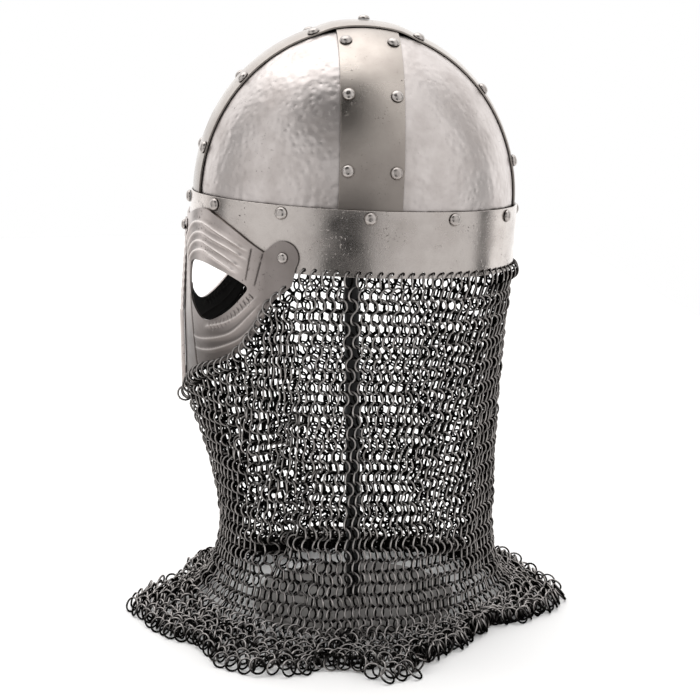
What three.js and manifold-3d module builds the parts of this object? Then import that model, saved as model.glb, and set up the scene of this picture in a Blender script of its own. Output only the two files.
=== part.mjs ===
// Norse iron helmet: a riveted bowl of four plates, a spectacle visor with a nose guard and a mail
// aventail, held up on a plain stand. Units are millimetres, +Z is up, the face looks towards -Y and
// the wearer's left is +X. The origin is the centre of the stand's underside.
import * as THREE from 'three';
import { mergeVertices } from 'three/addons/utils/BufferGeometryUtils.js';
import Module from 'manifold-3d';

const wasm = await Module();
wasm.setup();

// Driving dimensions
const bowlHalfLength = 113.6; // outside of the brow band, front to back
const bowlHalfWidth = 94.6; // outside of the brow band, ear to ear
const bowlRise = 118.5; // from the brow band's top edge to the crown
const browHeight = 43.5;
const rimHeight = 254.6; // middle of the brow band's lower edge above the table
const helmetTilt = 3.4; // degrees, the face raised
const browSheet = 1.3;
const strapSheet = 1.3;
const plateSheet = 1.3;
const visorSheet = 1.5;
const clearance = 0.3;
const facetRoom = 0.3; // more room between curved sheets, because their flat facets cut the curve
const plateSeam = 1.2; // open joint between two plates, hidden by the straps
const ridgeWidth = 46;
const crossWidth = 42;
const strapTuck = 16; // how far straps and plates reach down behind the brow band
const crownHole = 4; // the four plates' corners stop this many degrees short of the crown

const visorHalfSpan = 121; // along the curve from the nose to the end of the ear tab
const visorRise = 35; // brow arches above the brow band's lower edge
const visorDrop = 97; // tip below the brow band's lower edge
const visorTuck = 3.5; // the tip lies this much closer to the face than the brow does
const tabRadius = 10.8;
const eyeInset = 21; // from the nose line to the eye hole, along the curve
const eyeLength = 66;
const eyeHeight = 39;
const eyeTop = 0.8; // top of the eye hole below the brow band's lower edge
const ribWidth = 3;
const ribHeight = 1.1;
const noseHalfWidth = 8;
const noseSheet = 1.8;
const ropePitch = 5.5;
const ropeDepth = 0.6;
const noseMargin = 2; // the nose guard's ends stop this far inside the visor's edge

const rivetRadius = 4.2;
const rivetRise = 2.8;
const browRivetCount = 12;
const browRivetDrop = 5; // rivet centres below the brow band's top edge
const ridgeRivetOffset = 18.8; // from the ridge line to each row of rivets
const crossRivetOffset = 15.8;
const noseRivetDrop = 5.3; // rivet's centre below the nose guard's top

const mailWall = 6.5; // thickness of a hanging layer of rings
const visorSeam = 1.2; // from the visor's lower edge down to the mail
const mailWaistFront = 92;
const mailWaistBack = 97;
const mailWaistSide = 86;
const skirtHeight = 66; // where the mail starts to spread
const skirtReach = 160; // how far the spread mail reaches from the middle

const postRadius = 5.2;
const postHeadRadius = 17;
const postHeadHeight = 12;
const baseRadius = 72;
const baseThickness = 6;

// Named angles and counts of the facets
const DEGREE = Math.PI / 180;
const browFacets = 56;
const mailFacets = 54;
const rivetFacets = 10;
const footFacets = 28;
const outlineStep = 11; // longest straight stretch of an outline on the curved visor
const sliverSize = 0.05; // cuts leave thin triangles, which are merged below this size

// Insets of each layer of sheet, counted from the outside of the brow band
const strapInset = browSheet + clearance;
const plateInset = strapInset + strapSheet + clearance + facetRoom;
const visorInset = -(clearance + visorSheet);

// Materials
const steel = (colour, roughness) =>
  new THREE.MeshStandardMaterial({ color: colour, roughness, metalness: 0.9 });
const finishes = {
  brow: () => steel('#8f8883', 0.38),
  strap: () => steel('#8a837e', 0.4),
  plate: () => steel('#a09993', 0.36),
  visor: () => steel('#8b8581', 0.42),
  rivet: () => steel('#7c7672', 0.34),
  mail: () => steel('#55514d', 0.45),
  post: () => new THREE.MeshStandardMaterial({ color: '#17171a', roughness: 0.6, metalness: 0.1 }),
  base: () => new THREE.MeshStandardMaterial({ color: '#c9c7c4', roughness: 0.7, metalness: 0 }),
};

// Mesh building
function meshFrom(name, geometry, finish) {
  const mesh = new THREE.Mesh(geometry, finishes[finish]());
  mesh.name = name;
  return mesh;
}

// A closed skin between two sheets of points, outer(u, v) and inner(u, v) with u and v from 0 to 1.
// With u to the right and v up, the outer sheet is seen from outside. A ring joins u = 1 to u = 0.
function skin(columns, rows, outer, inner, ring = false) {
  const across = ring ? columns : columns + 1;
  const positions = [];
  const faces = [];
  const layers = [outer, inner];
  for (const sheet of layers) {
    for (let row = 0; row <= rows; row += 1) {
      for (let column = 0; column < across; column += 1) {
        positions.push(...sheet(column / columns, row / rows).toArray());
      }
    }
  }
  const layerSize = across * (rows + 1);
  const at = (layer, column, row) => layer * layerSize + row * across + (column % across);
  const quad = (a, b, c, d) => faces.push(a, b, c, a, c, d);
  for (let column = 0; column < columns; column += 1) {
    for (let row = 0; row < rows; row += 1) {
      quad(at(0, column, row), at(0, column + 1, row), at(0, column + 1, row + 1), at(0, column, row + 1));
      quad(at(1, column, row), at(1, column, row + 1), at(1, column + 1, row + 1), at(1, column + 1, row));
    }
    quad(at(0, column, 0), at(1, column, 0), at(1, column + 1, 0), at(0, column + 1, 0));
    quad(at(0, column, rows), at(0, column + 1, rows), at(1, column + 1, rows), at(1, column, rows));
  }
  if (!ring) {
    for (let row = 0; row < rows; row += 1) {
      quad(at(0, 0, row), at(0, 0, row + 1), at(1, 0, row + 1), at(1, 0, row));
      quad(at(0, columns, row), at(1, columns, row), at(1, columns, row + 1), at(0, columns, row + 1));
    }
  }
  const geometry = new THREE.BufferGeometry();
  geometry.setAttribute('position', new THREE.Float32BufferAttribute(positions, 3));
  geometry.setIndex(faces);
  return geometry;
}

function toSolid(geometry) {
  const bare = geometry.clone();
  bare.deleteAttribute('normal');
  bare.deleteAttribute('uv');
  const merged = mergeVertices(bare, 1e-4);
  const vertProperties = new Float32Array(merged.attributes.position.array);
  const triVerts = new Uint32Array(merged.index.array);
  return new wasm.Manifold(new wasm.Mesh({ numProp: 3, vertProperties, triVerts }));
}

function toGeometry(solid) {
  const mesh = solid.getMesh();
  const geometry = new THREE.BufferGeometry();
  geometry.setAttribute('position', new THREE.BufferAttribute(mesh.vertProperties, 3));
  geometry.setIndex(new THREE.BufferAttribute(mesh.triVerts, 1));
  return geometry;
}

const mix = (from, to, share) => from + (to - from) * share;

// The bowl is half an ellipsoid that stands on an upright elliptic wall. Both are given by the inset
// of a layer, and z is counted from the brow band's lower edge.
const halfLength = (inset) => bowlHalfLength - inset;
const halfWidth = (inset) => bowlHalfWidth - inset;
const rise = (inset) => bowlRise + strapInset - inset;

// A point over the crown at a distance across the strap. An angle of 0 is at one end of the strap and
// 180 at the other. A drop goes straight down from the ends, behind the brow band.
function strapPoint(angle, across, drop, inset, alongLength) {
  const reach = alongLength ? halfLength(inset) : halfWidth(inset);
  const breadth = alongLength ? halfWidth(inset) : halfLength(inset);
  const narrowing = Math.sqrt(1 - (across / breadth) ** 2);
  const along = -reach * narrowing * Math.cos(angle * DEGREE);
  const z = browHeight - drop + rise(inset) * narrowing * Math.sin(angle * DEGREE);
  return alongLength ? new THREE.Vector3(across, along, z) : new THREE.Vector3(along, across, z);
}

// A strap between two angles, with its hidden ends as one more step below each end that asks for it
function strap(fromAngle, toAngle, steps, width, alongLength, tucks) {
  const stations = [];
  if (tucks.includes('start')) {
    stations.push({ angle: fromAngle, drop: strapTuck });
  }
  for (let step = 0; step <= steps; step += 1) {
    stations.push({ angle: mix(fromAngle, toAngle, step / steps), drop: 0 });
  }
  if (tucks.includes('end')) {
    stations.push({ angle: toAngle, drop: strapTuck });
  }
  const last = stations.length - 1;
  const side = alongLength ? 1 : -1;
  const sheet = (inset) => (u, v) => {
    const station = stations[Math.round(v * last)];
    return strapPoint(station.angle, side * mix(-width / 2, width / 2, u), station.drop, inset, alongLength);
  };
  return skin(4, last, sheet(strapInset), sheet(strapInset + strapSheet));
}

// Where the cross straps meet the ridge strap, measured at their corners, which come nearest to it
function crossEndAngle() {
  const edge = ridgeWidth / 2 + clearance;
  const inset = strapInset + strapSheet;
  const cornerNarrowing = Math.sqrt(1 - (crossWidth / 2 / halfLength(inset)) ** 2);
  return Math.acos(edge / (halfWidth(inset) * cornerNarrowing)) / DEGREE;
}

// One quarter of the bowl. sideX and sideY are 1 or -1.
function bowlPlate(sideX, sideY) {
  const columns = 8;
  const risingRows = 8;
  const rows = risingRows + 1;
  const half = plateSeam / 2;
  const sheet = (inset) => (u, v) => {
    const row = Math.round(v * rows);
    const turn = sideX * sideY > 0 ? 1 - u : u;
    const azimuth = turn * 90 * DEGREE;
    const elevation = Math.max(row - 1, 0) / risingRows * (90 - crownHole) * DEGREE;
    const drop = row === 0 ? strapTuck : 0;
    return new THREE.Vector3(
      sideX * (half + (halfWidth(inset) - half) * Math.cos(elevation) * Math.sin(azimuth)),
      sideY * (half + (halfLength(inset) - half) * Math.cos(elevation) * Math.cos(azimuth)),
      browHeight - drop + rise(inset) * Math.sin(elevation),
    );
  };
  return skin(columns, rows, sheet(plateInset), sheet(plateInset + plateSheet));
}

// A point on the upright wall. The turn is 0 at the face and 90 at the wearer's left ear.
function wallPoint(turn, z, inset, scale = 1) {
  const x = halfWidth(inset) * Math.sin(turn * DEGREE) * scale;
  const y = -halfLength(inset) * Math.cos(turn * DEGREE) * scale;
  return new THREE.Vector3(x, y, z);
}

function browBand() {
  const sheet = (inset) => (u, v) => wallPoint(u * 360, v * browHeight, inset);
  return skin(browFacets, 1, sheet(0), sheet(browSheet), true);
}

// Lengths along the curve from the nose line, turned into angles
const arcSteps = 180;
const visorArc = [0];
for (let step = 1; step <= arcSteps; step += 1) {
  const before = wallPoint((step - 1) * 180 / arcSteps, 0, visorInset);
  visorArc.push(visorArc[step - 1] + before.distanceTo(wallPoint(step * 180 / arcSteps, 0, visorInset)));
}
function turnAlong(length) {
  const distance = Math.abs(length);
  let step = 1;
  while (step < arcSteps && visorArc[step] < distance) {
    step += 1;
  }
  const share = (distance - visorArc[step - 1]) / (visorArc[step] - visorArc[step - 1]);
  return Math.sign(length) * (step - 1 + share) * 180 / arcSteps;
}
function lengthAt(turn) {
  const step = Math.min(Math.floor(turn * arcSteps / 180), arcSteps - 1);
  return mix(visorArc[step], visorArc[step + 1], turn * arcSteps / 180 - step);
}

// A point of the visor by its length along the curve, its height and its height above the sheet.
// Below the eye holes the visor leans in towards the chin.
const bendHeight = -eyeTop - eyeHeight;
function visorPoint(length, z, above, scale = 1) {
  const lean = visorTuck * Math.max((bendHeight - z) / (bendHeight + visorDrop), 0);
  return wallPoint(turnAlong(length), z, visorInset + lean - above, scale);
}

// Upper edge of one half of the visor, from the nose to the notch before the ear tab.
// along is a share of the half span and up is a share of the visor's rise.
const visorUpperEdge = [
  { along: 0.0, up: 0.74 },
  { along: 0.13, up: 0.81 },
  { along: 0.21, up: 0.91 },
  { along: 0.29, up: 0.98 },
  { along: 0.37, up: 1.0 },
  { along: 0.46, up: 0.9 },
  { along: 0.61, up: 0.68 },
  { along: 0.71, up: 0.49 },
  { along: 0.8, up: 0.34 },
];
// Lower edge of one half, from under the ear tab to the tip. down is a share of the visor's drop.
const visorLowerEdge = [
  { along: 0.965, down: 0.088 },
  { along: 0.905, down: 0.15 },
  { along: 0.85, down: 0.218 },
  { along: 0.807, down: 0.35 },
  { along: 0.735, down: 0.488 },
  { along: 0.617, down: 0.627 },
  { along: 0.504, down: 0.695 },
  { along: 0.347, down: 0.755 },
  { along: 0.231, down: 0.825 },
  { along: 0.13, down: 0.915 },
  { along: 0.065, down: 0.98 },
  { along: 0.0, down: 1.0 },
];
// Eye hole. along is a share of its length from the nose and down a share of its height.
const eyeEdge = [
  { along: 0.0, down: 0.4 },
  { along: 0.01, down: 0.17 },
  { along: 0.05, down: 0.04 },
  { along: 0.17, down: 0.0 },
  { along: 0.37, down: 0.0 },
  { along: 0.67, down: 0.095 },
  { along: 0.874, down: 0.205 },
  { along: 1.0, down: 0.295 },
  { along: 0.918, down: 0.469 },
  { along: 0.79, down: 0.697 },
  { along: 0.626, down: 0.885 },
  { along: 0.46, down: 1.0 },
  { along: 0.317, down: 0.987 },
  { along: 0.173, down: 0.84 },
  { along: 0.077, down: 0.69 },
];
// Raised ribs over the brow and below the eye. gap is the distance in from the visor's edge, and
// from and to are shares of the half span.
const browRibs = [
  { gap: 8, from: 0.12, to: 0.69 },
  { gap: 14.5, from: 0.12, to: 0.68 },
  { gap: 20.5, from: 0.12, to: 0.67 },
  { gap: 26.5, from: 0.12, to: 0.65 },
];
const cheekRibs = [
  { gap: 6.5, from: 0.24, to: 0.82 },
  { gap: 13, from: 0.26, to: 0.7 },
];
const ribSteps = 7;

const tabCentre = { length: visorHalfSpan - tabRadius, z: 0.28 * visorRise };

function heightOnEdge(edge, key, size, length) {
  const along = Math.min(Math.abs(length) / visorHalfSpan, 1);
  const ordered = edge[0].along < edge[edge.length - 1].along ? edge : [...edge].reverse();
  let next = 1;
  while (next < ordered.length - 1 && ordered[next].along < along) {
    next += 1;
  }
  const [a, b] = [ordered[next - 1], ordered[next]];
  const share = THREE.MathUtils.clamp((along - a.along) / (b.along - a.along), 0, 1);
  return mix(a[key], b[key], share) * size;
}
const upperEdgeHeight = (length) => heightOnEdge(visorUpperEdge, 'up', visorRise, length);
const lowerEdgeHeight = (length) => -heightOnEdge(visorLowerEdge, 'down', visorDrop, length);

// Splits the straight stretches of an outline so that it can follow the curve of the visor
function subdivide(points, longest) {
  const result = [];
  points.forEach((point, index) => {
    const next = points[(index + 1) % points.length];
    const pieces = Math.max(1, Math.ceil(point.distanceTo(next) / longest));
    for (let piece = 0; piece < pieces; piece += 1) {
      result.push(point.clone().lerp(next, piece / pieces));
    }
  });
  return result;
}

function halfOutline() {
  const points = visorUpperEdge.map((row) => new THREE.Vector2(row.along * visorHalfSpan, row.up * visorRise));
  const tabTurns = [135, 105, 75, 45, 15, -15];
  for (const turn of tabTurns) {
    const x = tabCentre.length + tabRadius * Math.cos(turn * DEGREE);
    points.push(new THREE.Vector2(x, tabCentre.z + tabRadius * Math.sin(turn * DEGREE)));
  }
  for (const row of visorLowerEdge) {
    points.push(new THREE.Vector2(row.along * visorHalfSpan, -row.down * visorDrop));
  }
  return points;
}

// A wedge that runs from near the middle of the head out through the visor, with this outline on it
function radialPrism(outline, near, far) {
  const flat = new THREE.ExtrudeGeometry(new THREE.Shape(outline), { depth: 1, bevelEnabled: false });
  const place = flat.attributes.position;
  for (let index = 0; index < place.count; index += 1) {
    const scale = place.getZ(index) > 0.5 ? far : near;
    const point = visorPoint(place.getX(index), place.getY(index), 0, scale);
    place.setXYZ(index, point.x, point.y, point.z);
  }
  return toSolid(flat);
}

// A raised rib along a run of points on the visor, sunk a little into the sheet
function rib(points, width, height) {
  const last = points.length - 1;
  const corner = [
    { across: -0.5, above: -0.4 },
    { across: 0, above: height },
    { across: 0.5, above: -0.4 },
    { across: 0, above: -0.8 },
  ];
  const positions = [];
  points.forEach((point, index) => {
    const before = points[Math.max(index - 1, 0)];
    const after = points[Math.min(index + 1, last)];
    const heading = after.clone().sub(before).normalize();
    for (const { across, above } of corner) {
      const length = point.x - heading.y * across * width;
      const z = point.y + heading.x * across * width;
      positions.push(...visorPoint(length, z, above).toArray());
    }
  });
  const faces = [];
  for (let index = 0; index < last; index += 1) {
    for (let side = 0; side < 4; side += 1) {
      const a = index * 4 + side;
      const b = index * 4 + (side + 1) % 4;
      faces.push(a, b, b + 4, a, b + 4, a + 4);
    }
  }
  faces.push(0, 2, 1, 0, 3, 2);
  const end = last * 4;
  faces.push(end, end + 1, end + 2, end, end + 2, end + 3);
  const geometry = new THREE.BufferGeometry();
  geometry.setAttribute('position', new THREE.Float32BufferAttribute(positions, 3));
  geometry.setIndex(faces);
  return toSolid(geometry);
}

// Points of a rib on one side of the face, at a constant distance in from an edge of the visor.
// inward is -1 under the upper edge and 1 over the lower one.
function ribRun(row, edgeHeight, inward, side) {
  const points = [];
  const reach = 2 * ribWidth;
  for (let step = 0; step <= ribSteps; step += 1) {
    const length = mix(row.from, row.to, step / ribSteps) * visorHalfSpan;
    const climb = edgeHeight(length + reach) - edgeHeight(length - reach);
    const away = new THREE.Vector2(-climb, 2 * reach).setLength(row.gap).multiplyScalar(inward);
    const point = new THREE.Vector2(side * (length + away.x), edgeHeight(length) + away.y);
    if (step === 0 || point.distanceTo(points[points.length - 1]) > 2 * ribWidth) {
      points.push(point);
    }
  }
  return side > 0 ? points : points.reverse();
}

function visor() {
  const half = halfOutline();
  const mirrored = half.slice(1, -1).reverse().map((point) => new THREE.Vector2(-point.x, point.y));
  const outline = subdivide([...mirrored, ...half].reverse(), outlineStep);
  const margin = 4;
  const reach = visorHalfSpan + margin;
  const heights = [-visorDrop - margin, bendHeight, visorRise + margin];
  const sheet = (above) => (u, v) =>
    visorPoint(mix(-reach, reach, u), heights[Math.round(v * (heights.length - 1))], above);
  let solid = toSolid(skin(48, heights.length - 1, sheet(0), sheet(-visorSheet)));
  solid = solid.intersect(radialPrism(outline, 0.2, 3.2));
  for (const side of [1, -1]) {
    const eye = eyeEdge.map((row) => new THREE.Vector2(
      side * (eyeInset + row.along * eyeLength),
      -eyeTop - row.down * eyeHeight,
    ));
    const ordered = side > 0 ? eye.reverse() : eye;
    solid = solid.subtract(radialPrism(subdivide(ordered, outlineStep), 0.6, 1.5));
    for (const row of browRibs) {
      solid = solid.add(rib(ribRun(row, upperEdgeHeight, -1, side), ribWidth, ribHeight));
    }
    for (const row of cheekRibs) {
      solid = solid.add(rib(ribRun(row, lowerEdgeHeight, 1, side), ribWidth, ribHeight));
    }
  }
  return toGeometry(solid.simplify(sliverSize));
}

const noseTop = upperEdgeHeight(0) - noseMargin;
const noseSeat = clearance + facetRoom;

// The nose guard is a strip over the visor's middle, roped like a twisted cord down to the level of
// the eyes' lower edge and ribbed lengthways below it
function noseGuard() {
  const bottom = -visorDrop + noseMargin;
  const ropeEnd = bendHeight;
  const ropeSteps = Math.round((noseTop - ropeEnd) / ropePitch) * 3;
  const heights = [bottom, mix(bottom, ropeEnd, 0.97)];
  for (let step = 0; step <= ropeSteps; step += 1) {
    heights.push(mix(ropeEnd, noseTop, step / ropeSteps));
  }
  const columns = 4;
  const last = heights.length - 1;
  const relief = (u, z) => {
    if (z > ropeEnd) {
      return ropeDepth * Math.cos(2 * Math.PI * (z / ropePitch + u));
    }
    return u === 0.5 || u === 0 || u === 1 ? ropeDepth : -ropeDepth;
  };
  const outer = (u, v) => {
    const z = heights[Math.round(v * last)];
    return visorPoint(mix(-noseHalfWidth, noseHalfWidth, u), z, noseSeat + noseSheet + relief(u, z));
  };
  const inner = (u, v) =>
    visorPoint(mix(-noseHalfWidth, noseHalfWidth, u), heights[Math.round(v * last)], noseSeat);
  return skin(columns, last, outer, inner);
}

// Rivet heads, set on the surface along its normal
function rivetHead() {
  const profile = [
    { across: 0, up: 0 },
    { across: 1, up: 0 },
    { across: 0.8, up: 0.7 },
    { across: 0, up: 1 },
  ];
  const points = profile.map((row) => new THREE.Vector2(row.across * rivetRadius, row.up * rivetRise));
  return new THREE.LatheGeometry(points, rivetFacets);
}

function rivet(name, foot, normal) {
  const mesh = meshFrom(name, rivetHead(), 'rivet');
  mesh.position.copy(foot).addScaledVector(normal, clearance);
  mesh.quaternion.setFromUnitVectors(new THREE.Vector3(0, 1, 0), normal);
  return mesh;
}

// Outward normals of the ellipsoid and of the upright wall
function bowlNormal(point, inset) {
  return new THREE.Vector3(
    point.x / halfWidth(inset) ** 2,
    point.y / halfLength(inset) ** 2,
    Math.max(point.z - browHeight, 0) / rise(inset) ** 2,
  ).normalize();
}

const twoDigits = (number) => String(number).padStart(2, '0');

function browRivets() {
  const rivets = [];
  for (let index = 0; index < browRivetCount; index += 1) {
    const foot = wallPoint(index * 360 / browRivetCount, browHeight - browRivetDrop, 0);
    rivets.push(rivet(`rivet_brow_${twoDigits(index + 1)}`, foot, bowlNormal(foot, 0)));
  }
  return rivets;
}

// Angles over the crown, from the front end of the strap or from the ear
const ridgeRivetAngles = [15, 42, 71, 109, 138, 165];
const crossRivetAngles = [12, 38, 64.3];

function strapRivets() {
  const rivets = [];
  const crown = strapPoint(90, 0, 0, strapInset, true);
  rivets.push(rivet('rivet_crown', crown, new THREE.Vector3(0, 0, 1)));
  for (const [side, word] of [[1, 'left'], [-1, 'right']]) {
    ridgeRivetAngles.forEach((angle, index) => {
      const foot = strapPoint(angle, side * ridgeRivetOffset, 0, strapInset, true);
      rivets.push(rivet(`rivet_ridge_${word}_${index + 1}`, foot, bowlNormal(foot, strapInset)));
    });
    crossRivetAngles.forEach((angle, index) => {
      for (const [offset, place] of [[-crossRivetOffset, 'front'], [crossRivetOffset, 'back']]) {
        const along = side > 0 ? 180 - angle : angle;
        const foot = strapPoint(along, offset, 0, strapInset, false);
        rivets.push(rivet(`rivet_cross_${word}_${place}_${index + 1}`, foot, bowlNormal(foot, strapInset)));
      }
    });
  }
  return rivets;
}

function visorRivets() {
  const out = (point) => bowlNormal(point.clone().setZ(0), visorInset);
  const noseFace = noseSeat + noseSheet + ropeDepth;
  const list = [
    ['rivet_visor_left', visorPoint(tabCentre.length, tabCentre.z, 0)],
    ['rivet_visor_right', visorPoint(-tabCentre.length, tabCentre.z, 0)],
    ['rivet_visor_front', visorPoint(0, noseTop - noseRivetDrop, noseFace)],
  ];
  return list.map(([name, point]) => rivet(name, point, out(point)));
}

// Mail. turn is 0 at the face and 90 at the wearer's left. reach is a share of the skirt's reach, and
// lift a share of the skirt's height, by which the edge lies on folds instead of the table.
const skirtLobes = [
  { turn: 0, reach: 1.0, lift: 0.0 },
  { turn: 15, reach: 0.98, lift: 0.0 },
  { turn: 30, reach: 0.93, lift: 0.0 },
  { turn: 39, reach: 0.86, lift: 0.03 },
  { turn: 54, reach: 1.0, lift: 0.0 },
  { turn: 75, reach: 0.98, lift: 0.0 },
  { turn: 93, reach: 1.02, lift: 0.02 },
  { turn: 105, reach: 0.84, lift: 0.0 },
  { turn: 120, reach: 0.76, lift: 0.03 },
  { turn: 138, reach: 0.73, lift: 0.02 },
  { turn: 156, reach: 0.9, lift: 0.0 },
  { turn: 174, reach: 0.97, lift: 0.0 },
  { turn: 192, reach: 0.95, lift: 0.0 },
  { turn: 212, reach: 0.88, lift: 0.02 },
  { turn: 232, reach: 0.93, lift: 0.0 },
  { turn: 252, reach: 0.84, lift: 0.03 },
  { turn: 270, reach: 0.92, lift: 0.0 },
  { turn: 290, reach: 0.86, lift: 0.02 },
  { turn: 308, reach: 0.97, lift: 0.0 },
  { turn: 325, reach: 1.0, lift: 0.0 },
  { turn: 345, reach: 1.0, lift: 0.0 },
];
// Upright folds of the hanging mail. depth is a share of the waist's half width, width in degrees.
const mailFolds = [
  { turn: 89, depth: -0.09, width: 9 },
  { turn: 118, depth: -0.045, width: 12 },
  { turn: 56, depth: -0.035, width: 12 },
  { turn: 148, depth: -0.03, width: 10 },
  { turn: 215, depth: -0.05, width: 13 },
  { turn: 262, depth: -0.06, width: 12 },
  { turn: 305, depth: -0.04, width: 12 },
];

function lobeAt(turn) {
  const around = (turn + 360) % 360;
  let next = skirtLobes.findIndex((row) => row.turn > around);
  next = next < 0 ? skirtLobes.length : next;
  const a = skirtLobes[next - 1];
  const b = next < skirtLobes.length ? skirtLobes[next] : { ...skirtLobes[0], turn: 360 };
  const share = THREE.MathUtils.smoothstep(around, a.turn, b.turn);
  return { reach: mix(a.reach, b.reach, share) * skirtReach, lift: mix(a.lift, b.lift, share) * skirtHeight };
}

function foldAt(turn) {
  let total = 0;
  for (const fold of mailFolds) {
    const apart = Math.abs((turn - fold.turn + 540) % 360 - 180);
    total += fold.depth * Math.exp(-((apart / fold.width) ** 2));
  }
  return total * mailWaistSide;
}

// From the helmet's tilted frame to the upright one
function toUpright(point) {
  return point.clone().applyAxisAngle(new THREE.Vector3(1, 0, 0), -helmetTilt * DEGREE)
    .add(new THREE.Vector3(0, 0, rimHeight));
}

// Upper edge of the mail: under the brow band, and in front under the visor's lower edge, where each
// facet takes the height of the edge a third of a facet nearer the nose, so that none crosses it
function mailTop(turn) {
  const around = Math.abs((turn + 540) % 360 - 180);
  const underVisor = around < turnAlong(visorHalfSpan);
  const seam = underVisor ? visorSeam : clearance;
  const nearerNose = Math.max(around - 120 / mailFacets, 0);
  const edge = underVisor ? lowerEdgeHeight(lengthAt(nearerNose)) : 0;
  return toUpright(wallPoint(turn, edge - seam, mailWall / 2));
}

// Middle surface of the mail as a distance from the middle and a height. v is 0 at the hem.
function mailPoint(turn, v) {
  const top = mailTop(turn);
  const topReach = Math.hypot(top.x, top.y);
  const direction = new THREE.Vector2(top.x / topReach, top.y / topReach);
  const waistLong = direction.y < 0 ? mailWaistFront : mailWaistBack;
  const waist = 1 / Math.hypot(direction.x / mailWaistSide, direction.y / waistLong) + foldAt(turn);
  const hem = lobeAt(turn);
  const hemHeight = mailWall / 2 + hem.lift;
  const skirtShare = 0.45;
  if (v > skirtShare) {
    const climb = (v - skirtShare) / (1 - skirtShare);
    const narrowing = climb ** 1.7;
    return { direction, reach: mix(waist, topReach, narrowing), z: mix(skirtHeight, top.z, climb) };
  }
  const t = 1 - v / skirtShare;
  const spread = hem.reach - waist;
  const steps = [
    { reach: waist, z: skirtHeight, weight: (1 - t) ** 3 },
    { reach: waist + 0.1 * spread, z: 0.8 * skirtHeight, weight: 3 * t * (1 - t) ** 2 },
    { reach: waist + 0.6 * spread, z: 0.12 * skirtHeight + hemHeight, weight: 3 * t ** 2 * (1 - t) },
    { reach: hem.reach, z: hemHeight, weight: t ** 3 },
  ];
  const total = (key) => steps.reduce((sum, step) => sum + step[key] * step.weight, 0);
  return { direction, reach: total('reach'), z: total('z') };
}

function mailCurtain() {
  const rows = 14;
  const side = (away) => (u, v) => {
    const turn = u * 360;
    const here = mailPoint(turn, v);
    const below = mailPoint(turn, Math.max(v - 0.02, 0));
    const above = mailPoint(turn, Math.min(v + 0.02, 1));
    const heading = new THREE.Vector2(above.reach - below.reach, above.z - below.z).normalize();
    const reach = here.reach + heading.y * away;
    const z = Math.max(here.z - heading.x * away, 0);
    return new THREE.Vector3(here.direction.x * reach, here.direction.y * reach, z);
  };
  return skin(mailFacets, rows, side(mailWall / 2), side(-mailWall / 2), true);
}

// Stand
function crownUnderside() {
  const inset = plateInset + plateSheet;
  const forward = Math.sin(helmetTilt * DEGREE) * (browHeight + rise(inset));
  const fall = Math.sqrt(1 - (forward / halfLength(inset)) ** 2);
  const crown = new THREE.Vector3(0, -forward, browHeight + rise(inset) * fall);
  return toUpright(crown).z;
}

function standPost() {
  const top = crownUnderside() - clearance - 2 * facetRoom;
  const neck = top - postHeadHeight;
  const headProfile = [
    { across: 0.75, up: 0.2 },
    { across: 1, up: 0.5 },
    { across: 0.95, up: 0.75 },
    { across: 0.6, up: 0.95 },
  ];
  const points = [new THREE.Vector2(0, baseThickness), new THREE.Vector2(postRadius, baseThickness)];
  points.push(new THREE.Vector2(postRadius, neck));
  for (const row of headProfile) {
    points.push(new THREE.Vector2(row.across * postHeadRadius, neck + row.up * postHeadHeight));
  }
  points.push(new THREE.Vector2(0, top));
  const geometry = new THREE.LatheGeometry(points, 16);
  geometry.rotateX(90 * DEGREE);
  return geometry;
}

function standBase() {
  const bevel = 1;
  const points = [
    new THREE.Vector2(0, 0),
    new THREE.Vector2(baseRadius, 0),
    new THREE.Vector2(baseRadius, baseThickness - bevel),
    new THREE.Vector2(baseRadius - bevel, baseThickness),
    new THREE.Vector2(0, baseThickness),
  ];
  const geometry = new THREE.LatheGeometry(points, footFacets);
  geometry.rotateX(90 * DEGREE);
  return geometry;
}

// Assembly
const helmet = new THREE.Group();
helmet.position.z = rimHeight;
helmet.rotation.x = -helmetTilt * DEGREE;
helmet.add(meshFrom('brow_band', browBand(), 'brow'));
helmet.add(meshFrom('ridge_band', strap(0, 180, 34, ridgeWidth, true, ['start', 'end']), 'strap'));
const earEnd = crossEndAngle();
helmet.add(meshFrom('cross_band_right', strap(0, earEnd, 13, crossWidth, false, ['start']), 'strap'));
helmet.add(meshFrom('cross_band_left', strap(180 - earEnd, 180, 13, crossWidth, false, ['end']), 'strap'));
for (const [sideX, wordX] of [[1, 'left'], [-1, 'right']]) {
  for (const [sideY, wordY] of [[-1, 'front'], [1, 'back']]) {
    helmet.add(meshFrom(`bowl_plate_${wordY}_${wordX}`, bowlPlate(sideX, sideY), 'plate'));
  }
}
helmet.add(meshFrom('visor', visor(), 'visor'));
helmet.add(meshFrom('nose_guard', noseGuard(), 'visor'));
helmet.add(...browRivets(), ...strapRivets(), ...visorRivets());

const group = new THREE.Group();
group.add(helmet);
group.add(meshFrom('mail_curtain', mailCurtain(), 'mail'));
group.add(meshFrom('stand_post', standPost(), 'post'));
group.add(meshFrom('stand_base', standBase(), 'base'));

export default group;
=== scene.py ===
"""Surfaces, mail and studio for a norse iron helmet on its stand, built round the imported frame."""
import math

import bpy
import numpy as np
from bpy.props import FloatProperty, FloatVectorProperty, IntProperty, PointerProperty
from mathutils import Matrix, Vector
from mathutils.geometry import delaunay_2d_cdt


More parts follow.
